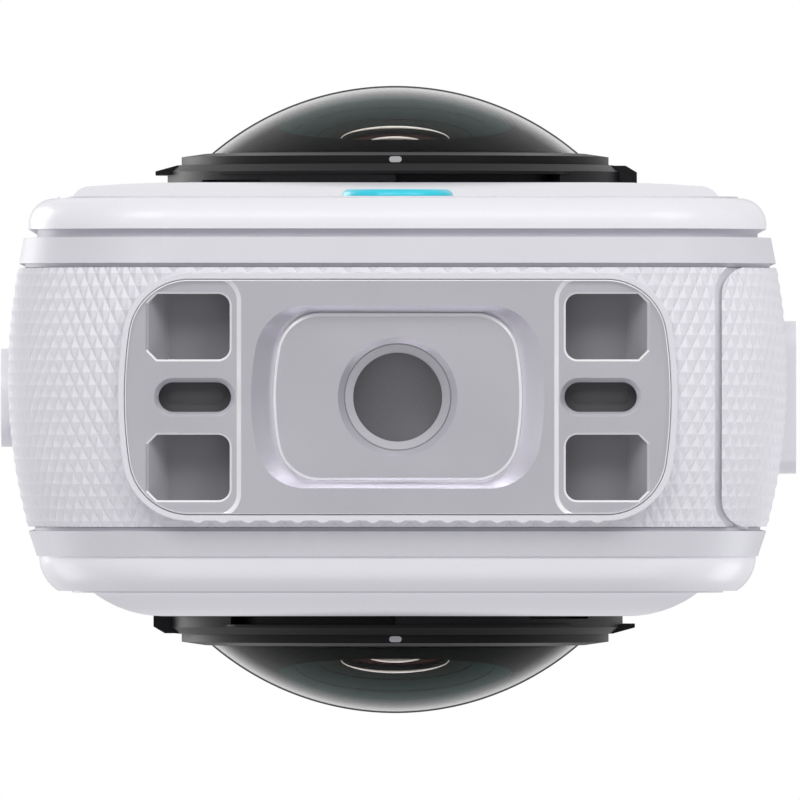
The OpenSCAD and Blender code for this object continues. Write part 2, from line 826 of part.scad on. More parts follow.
module plate_pocket() {
    slope = (pocket_x1 - pocket_floor_x) / (pocket_depth - end_field_depth);
    intersection() {
        translate([0, 0, -cut]) linear_extrude(pocket_depth + cut) pocket_outline(0);
        along_y(pocket_y0 - cut, pocket_y1 + cut)
            polygon([[pocket_x0 - cut, -2 * cut],
                [pocket_x1 + slope * (end_field_depth + 2 * cut), -2 * cut],
                [pocket_floor_x - slope * cut, pocket_depth + cut],
                [pocket_x0 - cut, pocket_depth + cut]]);
    }
    taper(end_field_depth - edge_chamfer, end_field_depth + edge_chamfer) {
        pocket_outline(2 * edge_chamfer);
        pocket_outline(-edge_chamfer / 10);
    }
}

module slot_outline(grow) rotate(90) obround(slot_w + 2 * grow, slot_len + 2 * grow);

module plate_slot() translate([slot_spacing / 2, 0, 0]) {
    r = slot_w / 2;
    mid_x = slot_len / 2 - r;
    slope = slot_mouth + edge_chamfer;
    z0 = end_field_depth - edge_chamfer;
    translate([0, 0, -cut]) linear_extrude(slot_depth + cut) slot_outline(0);
    translate([0, 0, -cut]) linear_extrude(slot_floor_depth + cut) slot_outline(-slot_floor_step);
    for (x = [-mid_x, mid_x]) translate([x, 0, z0])
        cylinder(h = slope, r1 = r + slope, r2 = r);
    along_x(-mid_x, mid_x)
        polygon([[-r - slope, z0], [r + slope, z0], [r, z0 + slope], [-r, z0 + slope]]);
}

module bottom_plate() color("silver") difference() {
    union() {
        linear_extrude(plate_body_t) plate_outline(0);
        block([-hw + corner_bottom + 1, -plate_d / 2 - plate_flange, plate_body_t],
            [hw - corner_bottom - 1, plate_d / 2 + plate_flange, plate_body_t + plate_flange_t]);
        translate([0, 0, plate_body_t]) cylinder(h = boss_z1 - plate_body_t, r = boss_r);
    }
    plate_recess();
    cylinder(h = boss_z1, r = nut_mouth_r);
    translate([0, 0, recess_depth - mouth_chamfer])
        cylinder(h = 2 * mouth_chamfer, r1 = nut_mouth_r + 2 * mouth_chamfer, r2 = nut_mouth_r);
    translate([0, 0, nut_z0]) cylinder(h = boss_z1, r = nut_r);
    for (side = [0, 1]) mirror([side, 0, 0]) end_field();
    for (side = [0, 1], up = [0, 1]) mirror([side, 0, 0]) mirror([0, up, 0]) plate_pocket();
    for (side = [0, 1]) mirror([side, 0, 0]) plate_slot();
}

module tripod_nut() color("darkgray") difference() {
    translate([0, 0, nut_z0]) cylinder(h = nut_z1 - nut_z0, r = nut_r);
    translate([0, 0, nut_z0 - cut]) cylinder(h = thread_z1 - nut_z0 + cut, r = thread_r);
    translate([0, 0, nut_z0]) cylinder(h = nut_chamfer, r1 = thread_r + nut_chamfer, r2 = thread_r);
}

// Screen, boards and what they carry
module screen_glass() color("black") along_y(-front_face + glass_sunk, front_seat)
    translate([0, glass_mid_z]) round_rect(glass_w, glass_h, glass_r);

module display_module() color("dimgray") along_y(front_seat, front_seat + display_t)
    translate([0, glass_mid_z]) round_rect(glass_w + 2 * display_rim, glass_h + 2 * display_rim, 1.5);

module board_screw_spots() for (x = [bay_x0 + 3, inner_x - 4.5], z = [board_z0 + 2, bay_z1 - 2])
    translate([x, 0, z]) rotate([-90, 0, 0]) children();

module main_board() color("darkgreen") difference() {
    block([-inner_x + 1.5, board_y, board_z0], [inner_x - 1.5, board_y + board_t, board_z1]);
    board_screw_spots() cylinder(h = board_y + 2 * board_t, r = screw_r + seat_fit);
}

module board_chips() color("black") for (c = chip_sizes)
    block([c[0], board_y - c[4], chip_z + c[1]], [c[0] + c[2], board_y, chip_z + c[1] + c[3]]);

module heat_spreader() color("peru") along_y(board_y + board_t, board_y + board_t + spreader_t)
    translate([0, (bay_z1 + 3 + board_z1) / 2]) round_rect(spreader_w, board_z1 - bay_z1 - 5, 2);

module battery_bay() color("slategray") difference() {
    union() {
        block([bay_x0, -bay_half - bay_t, bay_z0 - bay_t], [inner_x, bay_half + bay_t, bay_z1 + bay_t]);
        board_screw_spots() translate([0, 0, bay_half]) cylinder(h = board_y - bay_half, r = screw_boss_r);
    }
    block([bay_x0 + bay_t, -bay_half, bay_z0], [inner_x + cut, bay_half, bay_z1]);
    for (y = contact_ys)
        block([bay_x0 - cut, y - contact_w, contact_z - contact_h],
            [bay_x0 + bay_t + cut, y + contact_w, contact_z + contact_h]);
    board_screw_spots() translate([0, 0, bay_half + screw_tip]) cylinder(h = board_y, r = screw_r);
}

module battery_contacts() color("goldenrod") {
    block([bay_x0 - contact_t, -bay_half + 1, contact_z - 6], [bay_x0, bay_half - 1, contact_z + 6]);
    for (y = contact_ys)
        block([bay_x0, y - contact_w + seat_fit, contact_z - contact_h + seat_fit],
            [bay_x0 + bay_t + bay_fit - slide_fit, y + contact_w - seat_fit,
                contact_z + contact_h - seat_fit]);
}

module card_slot() color("lightgray") difference() {
    z = bay_z1 + bay_t;
    floor_z = z + (card_t - card_mouth) / 2;
    block([inner_x - card_len, -card_w / 2, z], [inner_x, card_w / 2, z + card_t]);
    block([inner_x - card_len + 2, -card_w / 2 + card_wall, floor_z],
        [inner_x + cut, card_w / 2 - card_wall, floor_z + card_mouth]);
}

module usb_board() color("darkgreen") {
    y0 = door_y + port_t / 2;
    block([-inner_x, y0, port_z - usb_board_h / 2],
        [-inner_x + usb_board_len, y0 + side_board_t, port_z + usb_board_h / 2]);
}

module usb_port() color("silver") difference() {
    x0 = -(hw - port_mouth);
    along_x(x0, x0 + port_len) translate([door_y, port_z]) obround(port_t, port_w);
    difference() {
        along_x(x0 - cut, x0 + port_len - port_back) translate([door_y, port_z])
            obround(port_t - 2 * port_wall, port_w - 2 * port_wall);
        along_x(x0 + tongue_inset, x0 + port_len) translate([door_y, port_z])
            square([tongue_t, tongue_w], center = true);
    }
}

module speaker() color("dimgray")
    block([-inner_x, -speaker_w / 2, bay_z0], [-inner_x + speaker_t, speaker_w / 2, bay_z0 + speaker_h]);

module microphones() color("silver") for (x = [-mic_x, mic_x]) difference() {
    z = body_h - frame_inset;
    block([x - mic_w / 2, -mic_d / 2, z - mic_t], [x + mic_w / 2, mic_d / 2, z]);
    translate([x, 0, z - mic_mesh_t]) cylinder(h = cut, r = mic_port_r);
}

module mic_meshes() color("gray") for (x = [-mic_x, mic_x])
    translate([x, 0, body_h - 1]) cylinder(h = mic_mesh_t, r = mic_r - seat_fit);

module status_light() color("lightcyan") translate([0, front_seat, light_z]) rotate([90, 0, 0])
    cylinder(h = front_face + front_seat, r = light_r);

module chassis_screws() color("gray") board_screw_spots() {
    translate([0, 0, bay_half + screw_tip])
        cylinder(h = board_y + board_t - bay_half - screw_tip, r = screw_r);
    translate([0, 0, board_y + board_t]) cylinder(h = screw_head_t, r = 2 * screw_r);
}

// Buttons and switches
module shutter_button() color("turquoise") translate([0, 0, shutter_z]) rotate([90, 0, 0])
    rotate_extrude() difference() {
        cap_r = shutter_d / 2;
        cap_top = front_face + shutter_proud;
        flange_r = cap_r + shutter_flange;
        flange_z = -front_seat - seat_fit;
        polygon([[0, shutter_stop - shutter_plunger], [plunger_r, shutter_stop - shutter_plunger],
            [plunger_r, shutter_stop], [flange_r, shutter_stop], [flange_r, flange_z],
            [cap_r, flange_z], [cap_r, cap_top], [0, cap_top]]);
        translate([cap_r - shutter_edge_r, cap_top - shutter_edge_r]) difference() {
            square(shutter_edge_r + cut);
            circle(shutter_edge_r);
        }
    }

module shutter_board() color("darkgreen") {
    half = post_x + 1.6 * post_r;
    block([-half, shutter_board_y, shutter_z - shutter_board_h / 2],
        [half, shutter_board_y + side_board_t, shutter_z + shutter_board_h / 2]);
}

module side_button(z) {
    along_x(-hw - proud, -hw + side_cap_inset) translate([0, z]) obround(side_button_w, side_button_len);
    translate([-hw + side_cap_inset, 0, z]) rotate([0, 90, 0]) cylinder(h = side_plunger, r = plunger_r);
}

module power_button() color("whitesmoke") side_button(power_z);

module quick_button() color("whitesmoke") side_button(quick_z);

module side_button_board() color("darkgreen")
    block([-inner_x, -4, quick_z - 6], [-inner_x + side_board_t, 4, power_z + 6]);

module button_switches() color("lightgray") {
    for (z = [quick_z, power_z])
        translate([-hw + switch_top_inset, 0, z]) rotate([0, 90, 0])
            cylinder(h = frame_inset - switch_top_inset, r = switch_r);
    translate([0, shutter_board_y, shutter_z]) rotate([90, 0, 0])
        cylinder(h = shutter_switch_h, r = switch_r);
}

// Port door
module usb_door() color("whitesmoke") difference() {
    intersection() {
        mirror([1, 0, 0]) translate([hw, 0, door_pin_z - door_end_r])
            linear_extrude(door_h + door_end_r) grip_section(door_inside);
        union() {
            along_x(-hw - cut, -hw + grip_t) translate([door_y, door_pin_z]) intersection() {
                translate([-door_w / 2, 0]) square([door_w, door_h]);
                round_rect(door_w, 2 * door_h, door_corner_r);
            }
            door_pin_rod(door_end_r, door_w);
        }
    }
    door_pin_rod(door_pin_r + seat_fit, door_w + 2 * cut);
}

module usb_door_pin() color("silver") door_pin_rod(door_pin_r, door_pin_len);

module usb_door_seal() color("dimgray") difference() {
    x0 = -hw + door_inside;
    along_x(x0, x0 + seal_depth) translate([door_y, port_z]) round_rect(seal_t, seal_w, 1.5 * seal_wall);
    along_x(x0 + seal_web, x0 + seal_depth + cut) translate([door_y, port_z])
        round_rect(seal_t - 2 * seal_wall, seal_w - 2 * seal_wall, seal_wall / 2);
}

// Battery
module latch_outline(grow, extra)
    translate([0, latch_z - extra / 2])
        round_rect(latch_w + 2 * grow, latch_len + extra + 2 * grow, latch_corner_r + grow);

module battery_cover() color("whitesmoke") difference() {
    intersection() {
        sweep_outline() grip_section(cover_back);
        cover_region(cover_gap);
    }
    difference() {
        under_skin(cover_seam_depth - slide_fit);
        cover_room(slide_fit);
    }
    along_x(hw - latch_sunk - 0.1, hw + cut) latch_outline(slide_fit, latch_travel);
}

module battery_case() color("dimgray") along_x(case_x0, case_x1)
    translate([0, battery_z + battery_h / 2]) round_rect(battery_t, battery_h, case_r);

module battery_seal() color("black")
    along_x(case_x1 - case_seal_inset - case_seal_t, case_x1 - case_seal_inset)
    translate([0, battery_z + battery_h / 2]) difference() {
        round_rect(battery_t + 2 * seal_lip, battery_h + 2 * seal_lip, case_r + seal_lip);
        round_rect(battery_t, battery_h, case_r);
    }

module battery_latch() color("whitesmoke") difference() {
    along_x(hw - latch_sunk, hw + proud) latch_outline(0, 0);
    for (i = [-2 : 2])
        translate([hw + proud, 0, latch_z + i * latch_groove_step]) rotate([0, 45, 0])
            cube([latch_groove_w, latch_w - 2, latch_groove_w], center = true);
}

// Lens module, drawn with its axis up
module lens_ring() {
    difference() {
        union() {
            rotate_extrude() polygon([[ring_bore, lug_z0], [spigot_r, lug_z0], [spigot_r, ring_z0],
                [ring_r, ring_z0], [ring_r, ring_z1 - ring_bevel], [ring_r - ring_bevel_run, ring_z1],
                [ring_bore, ring_z1]]);
            for (i = [0 : 2]) rotate(i * 120 + 90 - lug_span / 2) rotate_extrude(angle = lug_span)
                translate([spigot_r - lug_root, lug_z0])
                    square([lug_r - spigot_r + lug_root, lug_z1 - lug_z0]);
            rotate(-90 - rib_span / 2) rotate_extrude(angle = rib_span)
                polygon([[tab_root, rib_z0], [ring_r + rib_proud, rib_z0],
                    [ring_r + rib_proud, rib_top - ring_bevel],
                    [ring_r + rib_proud - ring_bevel_run, rib_top], [tab_root, rib_top]]);
            translate([0, tab_w / 2, 0]) rotate([90, 0, 0]) linear_extrude(tab_w) {
                polygon([[-tab_root, tab_z0], [-tab_reach, tab_z0], [-tab_reach, tab_z0 + tab_t],
                    [-ring_r + ring_bevel_run, rib_top], [-tab_root, rib_top]]);
                polygon([[tab_root, ring_z0], [stop_reach, ring_z0], [stop_reach, rib_top - ring_bevel],
                    [ring_r + rib_proud, rib_top], [tab_root, rib_top]]);
            }
        }
        rotate(notch_turn) translate([tab_root, -notch_w / 2, ring_z0 - cut])
            cube([4 * cut, notch_w, cut + notch_h]);
        rotate(-90) rotate_extrude(angle = finger_gap_span)
            translate([ring_r - finger_gap_depth, ring_z0 - cut])
                square([3 * cut, rib_z0 - ring_z0 + cut]);
    }
}

module lens_bezel() rotate_extrude() polygon([
    [ring_bore, ring_z1], [bezel_r, ring_z1], [bezel_r, bezel_z1 - bezel_slope],
    [dome_edge_r + bezel_crest, bezel_z1], [dome_edge_r + seat_fit, bezel_z1],
    [dome_edge_r + seat_fit, dome_seat], [ring_bore, dome_seat]]);

module dome_glass() rotate_extrude() difference() {
    union() {
        intersection() {
            translate([0, dome_mid]) circle(dome_r);
            translate([0, bezel_z1]) square([dome_edge_r, dome_rise + cut]);
        }
        translate([0, dome_seat]) square([dome_edge_r, bezel_z1 - dome_seat]);
    }
    translate([0, dome_mid]) circle(dome_r - dome_t);
}

module lens_mark() translate([0, -bezel_r, (ring_z1 + bezel_z1 - bezel_slope) / 2]) rotate([90, 0, 0])
    linear_extrude(mark_t) rotate(90) obround(mark_h, mark_w);

module lens_seal() translate([0, 0, ring_z0 - lens_seal_t]) difference() {
    cylinder(h = lens_seal_t, r = mount_r - lens_seal_fit);
    translate([0, 0, -cut]) cylinder(h = 3 * cut, r = groove_r + lens_seal_fit);
}

module lens_mount(seat) difference() {
    foot = seat - mount_flange_t;
    union() {
        translate([0, 0, foot]) cylinder(h = mount_flange_t, r = mount_r + mount_flange);
        translate([0, 0, foot]) cylinder(h = mount_face - foot, r = mount_r);
    }
    cylinder(h = 2 * lens_face, r = mount_bore);
    translate([0, 0, lug_z0 - slide_fit])
        cylinder(h = lug_z1 - lug_z0 + 2 * slide_fit, r = groove_r);
    for (i = [0 : 2]) rotate(i * 120 + 90 + bayonet_turn - lug_slot_span / 2)
        rotate_extrude(angle = lug_slot_span) translate([mount_bore - lug_root, lug_z0])
            square([lug_r - mount_bore + lug_root + slide_fit / 2, lens_face - lug_z0]);
}

module lens_barrel(seat) difference() {
    flange_z = seat - mount_flange_t;
    union() {
        rotate_extrude() polygon([[0, sensor_board_z], [barrel_waist_r, sensor_board_z],
            [barrel_waist_r, flange_z], [mount_bore, flange_z], [mount_bore, barrel_flange_z],
            [barrel_r, barrel_flange_z], [barrel_r, barrel_top - barrel_nose],
            [element_r + sensor_fit, barrel_top], [0, barrel_top]]);
        translate([0, 0, sensor_board_z + barrel_foot_t / 2])
            cube([barrel_foot, barrel_foot, barrel_foot_t], center = true);
    }
    translate([0, 0, element_z]) cylinder(h = 2 * lens_face, r = element_r + seat_fit);
    translate([0, 0, sensor_board_z])
        cube([sensor_w + 2 * sensor_fit, sensor_h + 2 * sensor_fit, 2 * (sensor_t + slide_fit)],
            center = true);
    cylinder(h = element_z + cut, r = barrel_bore_r);
}

module inner_lens() {
    cap_r = (element_r * element_r + cap_rise * cap_rise) / (2 * cap_rise);
    rotate_extrude() {
        translate([0, element_z]) square([element_r, barrel_top - element_z]);
        intersection() {
            translate([0, barrel_top + cap_rise - cap_r]) circle(cap_r);
            translate([0, barrel_top]) square([element_r, cap_rise + cut]);
        }
    }
}

module image_sensor() {
    translate([0, 0, bracket_half + sensor_board_t / 2])
        cube([sensor_board_w, sensor_board_w, sensor_board_t], center = true);
    translate([0, 0, sensor_board_z + sensor_t / 2])
        cube([sensor_w, sensor_h, sensor_t], center = true);
}

module lens_bracket() color("silver") {
    half = bracket_plate / 2;
    block([-half, -bracket_half, lens_z - half], [half, bracket_half, lens_z + half]);
    block([-inner_x, -bracket_half, lens_z - bracket_arm],
        [inner_x, bracket_half, body_h - corner_top - cut]);
}

module front_lens_ring() color("black") lens_place(false) lens_ring();
module front_lens_bezel() color("black") lens_place(false) lens_bezel();
module front_dome_glass() color("dimgray") lens_place(false) dome_glass();
module front_lens_mark() color("lightgray") lens_place(false) lens_mark();
module front_lens_seal() color("dimgray") lens_place(false) lens_seal();
module front_lens_mount() color("gray") lens_place(false) lens_mount(-front_seat);
module front_lens_barrel() color("black") lens_place(false) lens_barrel(-front_seat);
module front_inner_lens() color("darkslategray") lens_place(false) inner_lens();
module front_image_sensor() color("darkgreen") lens_place(false) image_sensor();
module back_lens_ring() color("black") lens_place(true) lens_ring();
module back_lens_bezel() color("black") lens_place(true) lens_bezel();
module back_dome_glass() color("dimgray") lens_place(true) dome_glass();
module back_lens_mark() color("lightgray") lens_place(true) lens_mark();
module back_lens_seal() color("dimgray") lens_place(true) lens_seal();
module back_lens_mount() color("gray") lens_place(true) lens_mount(back_seat);
module back_lens_barrel() color("black") lens_place(true) lens_barrel(back_seat);
module back_inner_lens() color("darkslategray") lens_place(true) inner_lens();
module back_image_sensor() color("darkgreen") lens_place(true) image_sensor();

// Drawing
mid_frame();
grip_band();
front_shell();
front_panel();
back_shell();
back_panel();
bottom_plate();
tripod_nut();
screen_glass();
display_module();
main_board();
board_chips();
heat_spreader();
battery_bay();
battery_contacts();
card_slot();
usb_board();
usb_port();
usb_door();
usb_door_pin();
usb_door_seal();
battery_cover();
battery_case();
battery_seal();
battery_latch();
shutter_button();
shutter_board();
power_button();
quick_button();
side_button_board();
button_switches();
front_lens_ring();
front_lens_bezel();
front_dome_glass();
front_lens_mark();
front_lens_seal();
front_lens_mount();
front_lens_barrel();
front_inner_lens();
front_image_sensor();
back_lens_ring();
back_lens_bezel();
back_dome_glass();
back_lens_mark();
back_lens_seal();
back_lens_mount();
back_lens_barrel();
back_inner_lens();
back_image_sensor();
lens_bracket();
speaker();
microphones();
mic_meshes();
status_light();
chassis_screws();
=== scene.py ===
"""Looks of the 360 degree camera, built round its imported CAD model."""

import json
import math

import bmesh
import bpy
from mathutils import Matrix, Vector


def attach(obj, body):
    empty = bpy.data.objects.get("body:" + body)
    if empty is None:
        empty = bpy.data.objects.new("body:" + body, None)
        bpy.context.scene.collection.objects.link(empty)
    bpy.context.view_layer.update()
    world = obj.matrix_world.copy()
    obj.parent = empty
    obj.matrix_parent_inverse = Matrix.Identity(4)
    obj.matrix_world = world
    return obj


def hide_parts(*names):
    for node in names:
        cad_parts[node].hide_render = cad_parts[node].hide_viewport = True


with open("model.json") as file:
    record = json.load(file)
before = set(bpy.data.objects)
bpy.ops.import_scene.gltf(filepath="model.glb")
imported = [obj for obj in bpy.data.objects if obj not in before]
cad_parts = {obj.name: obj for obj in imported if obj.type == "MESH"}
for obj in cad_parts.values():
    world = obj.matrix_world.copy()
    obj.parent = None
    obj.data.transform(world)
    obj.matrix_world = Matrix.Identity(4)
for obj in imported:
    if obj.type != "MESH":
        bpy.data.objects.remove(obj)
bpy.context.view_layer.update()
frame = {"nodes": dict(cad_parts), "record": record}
nodes = frame["nodes"]
scene = bpy.context.scene
scene.view_settings.view_transform = "Standard"

MM = 0.001


# Camera, straight below the base as in the photograph

CAMERA_PLACE = (-2.4 * MM, 2.3 * MM, -1550 * MM)
CAMERA_TARGET = (0.13 * MM, 0.17 * MM, 0)
FIELD_WIDTH = 45.714 * MM
SENSOR_WIDTH = 36
CLIP_START = 0.05
CLIP_END = 50


def make_camera():
    data = bpy.data.cameras.new("photo_camera")
    data.sensor_width = SENSOR_WIDTH
    view = Vector(CAMERA_TARGET) - Vector(CAMERA_PLACE)
    data.lens = SENSOR_WIDTH * view.length / FIELD_WIDTH
    data.clip_start = CLIP_START
    data.clip_end = CLIP_END
    camera = bpy.data.objects.new("photo_camera", data)
    scene.collection.objects.link(camera)
    camera.location = CAMERA_PLACE
    back = -view.normalized()
    right = Vector((0, -1, 0)).cross(back).normalized()
    up = back.cross(right)
    turn = camera.matrix_world.to_3x3()
    for i in range(3):
        turn[i] = (right[i], up[i], back[i])
    camera.rotation_euler = turn.to_euler()
    scene.camera = camera


# Studio: soft lamps, a surround that looks white and a pale floor

LAMP_TARGET = (0, 0, 60 * MM)
WARM = (1, 0.995, 0.98)
COOL = (0.98, 0.985, 1)
COOLER = (0.97, 0.98, 1)


def math_node(tree, operation, *values, clamp=False):
    """Output of a new math node; each value is a number or a socket that is tied in."""
    node = tree.nodes.new("ShaderNodeMath")
    node.operation = operation
    node.use_clamp = clamp
    for socket, value in zip(node.inputs, values):
        if isinstance(value, (int, float)):
            socket.default_value = value
        else:
            tree.links.new(value, socket)
    return node.outputs[0]


def aim_light(name, place, size, strength, tint):
    """A square lamp aimed at the middle of the object; strength is the light it gives a facing surface."""
    way = Vector(LAMP_TARGET) - Vector(place)
    data = bpy.data.lights.new(name, "AREA")
    data.size = size
    data.energy = strength * math.pi * math.pi * way.length_squared
    data.color = tint
    lamp = bpy.data.objects.new(name, data)
    lamp.location = place
    lamp.rotation_euler = way.to_track_quat("-Z", "Y").to_euler()
    scene.collection.objects.link(lamp)


FLAG_OUTER = 15
FLAG_INNER = 12
FLAG_LEVEL = 0.08
BRIGHT_SIDE = (-0.22, -0.38, 0.25)
SURROUND_LEVEL = 0.72
FILL_TINT = (0.98, 0.98, 1, 1)
FILL_LEVEL = 0.42


def make_world():
    """White to the camera and through glass; mirrored, a light front, a darker back and a small flag."""
    world = bpy.data.worlds.new("white_surround")
    scene.world = world
    world.use_nodes = True
    tree = world.node_tree
    tree.nodes.clear()
    tie = tree.links.new
    path = tree.nodes.new("ShaderNodeLightPath")
    way = tree.nodes.new("ShaderNodeTexCoord").outputs["Generated"]
    toward = tree.nodes.new("ShaderNodeVectorMath")
    toward.operation = "DOT_PRODUCT"
    toward.inputs[1].default_value = BRIGHT_SIDE
    tie(way, toward.inputs[0])
    studio = math_node(tree, "ADD", toward.outputs["Value"], SURROUND_LEVEL)
    studio = math_node(tree, "MINIMUM", studio, 1)
    parts = tree.nodes.new("ShaderNodeSeparateXYZ")
    tie(way, parts.inputs[0])
    flag = tree.nodes.new("ShaderNodeMapRange")
    flag.inputs["From Min"].default_value = math.cos(math.radians(FLAG_OUTER))
    flag.inputs["From Max"].default_value = math.cos(math.radians(FLAG_INNER))
    flag.inputs["To Min"].default_value = 1
    flag.inputs["To Max"].default_value = FLAG_LEVEL
    tie(parts.outputs["Z"], flag.inputs["Value"])
    studio = math_node(tree, "MULTIPLY", studio, flag.outputs["Result"])
    seen = math_node(tree, "MAXIMUM", path.outputs["Is Camera Ray"], path.outputs["Is Transmission Ray"])
    mirrored = math_node(tree, "MULTIPLY", path.outputs["Is Glossy Ray"], studio)
    strength = math_node(tree, "MAXIMUM", seen, mirrored)
    shown = math_node(tree, "MAXIMUM", seen, path.outputs["Is Glossy Ray"])
    white = tree.nodes.new("ShaderNodeBackground")
    white.inputs["Color"].default_value = (1, 1, 1, 1)
    tie(strength, white.inputs["Strength"])
    fill = tree.nodes.new("ShaderNodeBackground")
    fill.inputs["Color"].default_value = FILL_TINT
    fill.inputs["Strength"].default_value = FILL_LEVEL
    mix = tree.nodes.new("ShaderNodeMixShader")
    out = tree.nodes.new("ShaderNodeOutputWorld")
    tie(shown, mix.inputs["Fac"])
    tie(fill.outputs[0], mix.inputs[1])
    tie(white.outputs[0], mix.inputs[2])
    tie(mix.outputs[0], out.inputs["Surface"])


FLOOR_HALF = 3
FLOOR_DROP = 0.05
FLOOR_TINT = (0.86, 0.86, 0.87, 1)


def make_floor():
    """Pale floor that only a camera above it sees, so the base can be lit and looked at from below."""
    mesh = bpy.data.meshes.new("floor")
    half = FLOOR_HALF
    corners = [(-half, -half, 0), (half, -half, 0), (half, half, 0), (-half, half, 0)]
    mesh.from_pydata(corners, [], [(0, 1, 2, 3)])
    floor = bpy.data.objects.new("floor", mesh)
    floor.location.z = -FLOOR_DROP * MM
    scene.collection.objects.link(floor)
    paint = bpy.data.materials.new("pale_floor")
    paint.use_nodes = True
    tree = paint.node_tree
    tree.nodes.clear()
    path = tree.nodes.new("ShaderNodeLightPath")
    side = tree.nodes.new("ShaderNodeNewGeometry")
    above = math_node(tree, "SUBTRACT", 1, side.outputs["Backfacing"])
    shown = math_node(tree, "MULTIPLY", path.outputs["Is Camera Ray"], above)
    clear = tree.nodes.new("ShaderNodeBsdfTransparent")
    matt = tree.nodes.new("ShaderNodeBsdfDiffuse")
    matt.inputs["Color"].default_value = FLOOR_TINT
    mix = tree.nodes.new("ShaderNodeMixShader")
    out = tree.nodes.new("ShaderNodeOutputMaterial")
    tree.links.new(shown, mix.inputs["Fac"])
    tree.links.new(clear.outputs[0], mix.inputs[1])
    tree.links.new(matt.outputs[0], mix.inputs[2])
    tree.links.new(mix.outputs[0], out.inputs["Surface"])
    mesh.materials.append(paint)


make_camera()
make_world()
make_floor()
aim_light("key_below", (-0.27, -0.66, -0.74), 0.5, 0.31, WARM)
aim_light("top_right", (0.5, -0.6, -0.66), 0.5, 0.29, WARM)
aim_light("low_back", (0.1, 0.75, -0.7), 0.6, 0.15, COOL)
aim_light("key_above", (-1, -0.3, 1), 0.8, 0.35, WARM)
aim_light("back_right", (1.2, 0.6, 0.45), 0.8, 0.34, COOLER)
aim_light("back_left", (-1.2, 0.6, 0.45), 0.8, 0.24, COOLER)


# Finishes

def linear(colour):
    """Screen colour, 0 to 255, as the light values that shaders take."""
    out = []
    for c in colour:
        c = c / 255
        out.append(c / 12.92 if c <= 0.04045 else ((c + 0.055) / 1.055) ** 2.4)
    return (*out, 1)


GRAIN_DETAIL = 3
GRAIN_ROUGH = 0.6
BLOTCH_DETAIL = 4
BLOTCH_ROUGH = 0.55
RAMP_START = 0.3
RAMP_END = 0.7
RIM_GLOSS_START = 0.69
RIM_GLOSS_FULL = 0.83


def value_socket(group, name, start):
    socket = group.interface.new_socket(name, in_out="INPUT", socket_type="NodeSocketFloat")
    socket.default_value = start


def noise_node(tree, place, scale, detail, rough):
    """Value of a new noise that is read at a place, with its scale tied in."""
    noise = tree.nodes.new("ShaderNodeTexNoise")
    noise.inputs["Detail"].default_value = detail
    noise.inputs["Roughness"].default_value = rough
    tree.links.new(place, noise.inputs["Vector"])
    tree.links.new(scale, noise.inputs["Scale"])
    return noise.outputs["Fac"]


def surface_marks_group():
    """Fine grain and faint handling blotches: a tone to mix colours by, a roughness and a height."""
    group = bpy.data.node_groups.new("surface_marks", "ShaderNodeTree")
    value_socket(group, "Grain Scale", 9000)
    value_socket(group, "Blotch Scale", 120)
    value_socket(group, "Roughness", 0.4)
    value_socket(group, "Roughness Spread", 0.1)
    for name in ("Tone", "Roughness", "Height"):
        group.interface.new_socket(name, in_out="OUTPUT", socket_type="NodeSocketFloat")
    start = group.nodes.new("NodeGroupInput")
    end = group.nodes.new("NodeGroupOutput")
    place = group.nodes.new("ShaderNodeTexCoord").outputs["Object"]
    grain = noise_node(group, place, start.outputs["Grain Scale"], GRAIN_DETAIL, GRAIN_ROUGH)
    blotch = noise_node(group, place, start.outputs["Blotch Scale"], BLOTCH_DETAIL, BLOTCH_ROUGH)
    total = math_node(group, "ADD", grain, blotch)
    centred = math_node(group, "SUBTRACT", total, 1)
    spread = math_node(group, "MULTIPLY", centred, start.outputs["Roughness Spread"])
    rough = math_node(group, "ADD", spread, start.outputs["Roughness"], clamp=True)
    tone = math_node(group, "MULTIPLY", total, 0.5, clamp=True)
    group.links.new(tone, end.inputs["Tone"])
    group.links.new(rough, end.inputs["Roughness"])
    group.links.new(grain, end.inputs["Height"])
    return group


SURFACE_MARKS = surface_marks_group()


def make_finish(name, dark, light, rough, metal=0.0, grain=9000, blotch=120, spread=0.1,
                bump=0.05, depth=0.004, **shader_values):
    """A finish between two screen colours, with grain, blotches and a fine bump depth in millimetres."""
    paint = bpy.data.materials.new(name)
    paint.use_nodes = True
    tree = paint.node_tree
    shader = tree.nodes["Principled BSDF"]
    shader.inputs["Metallic"].default_value = metal
    for socket, value in shader_values.items():
        shader.inputs[socket.replace("_", " ")].default_value = value
    marks = tree.nodes.new("ShaderNodeGroup")
    marks.node_tree = SURFACE_MARKS
    marks.inputs["Grain Scale"].default_value = grain
    marks.inputs["Blotch Scale"].default_value = blotch
    marks.inputs["Roughness"].default_value = rough
    marks.inputs["Roughness Spread"].default_value = spread
    ramp = tree.nodes.new("ShaderNodeValToRGB")
    ramp.color_ramp.elements[0].position = RAMP_START
    ramp.color_ramp.elements[0].color = linear(dark)
    ramp.color_ramp.elements[1].position = RAMP_END
    ramp.color_ramp.elements[1].color = linear(light)
    fine = tree.nodes.new("ShaderNodeBump")
    fine.inputs["Strength"].default_value = bump
    fine.inputs["Distance"].default_value = depth * MM
    tie = tree.links.new
    tie(marks.outputs["Tone"], ramp.inputs["Fac"])
    tie(ramp.outputs["Color"], shader.inputs["Base Color"])
    tie(marks.outputs["Roughness"], shader.inputs["Roughness"])
    tie(marks.outputs["Height"], fine.inputs["Height"])
    tie(fine.outputs["Normal"], shader.inputs["Normal"])
    return paint


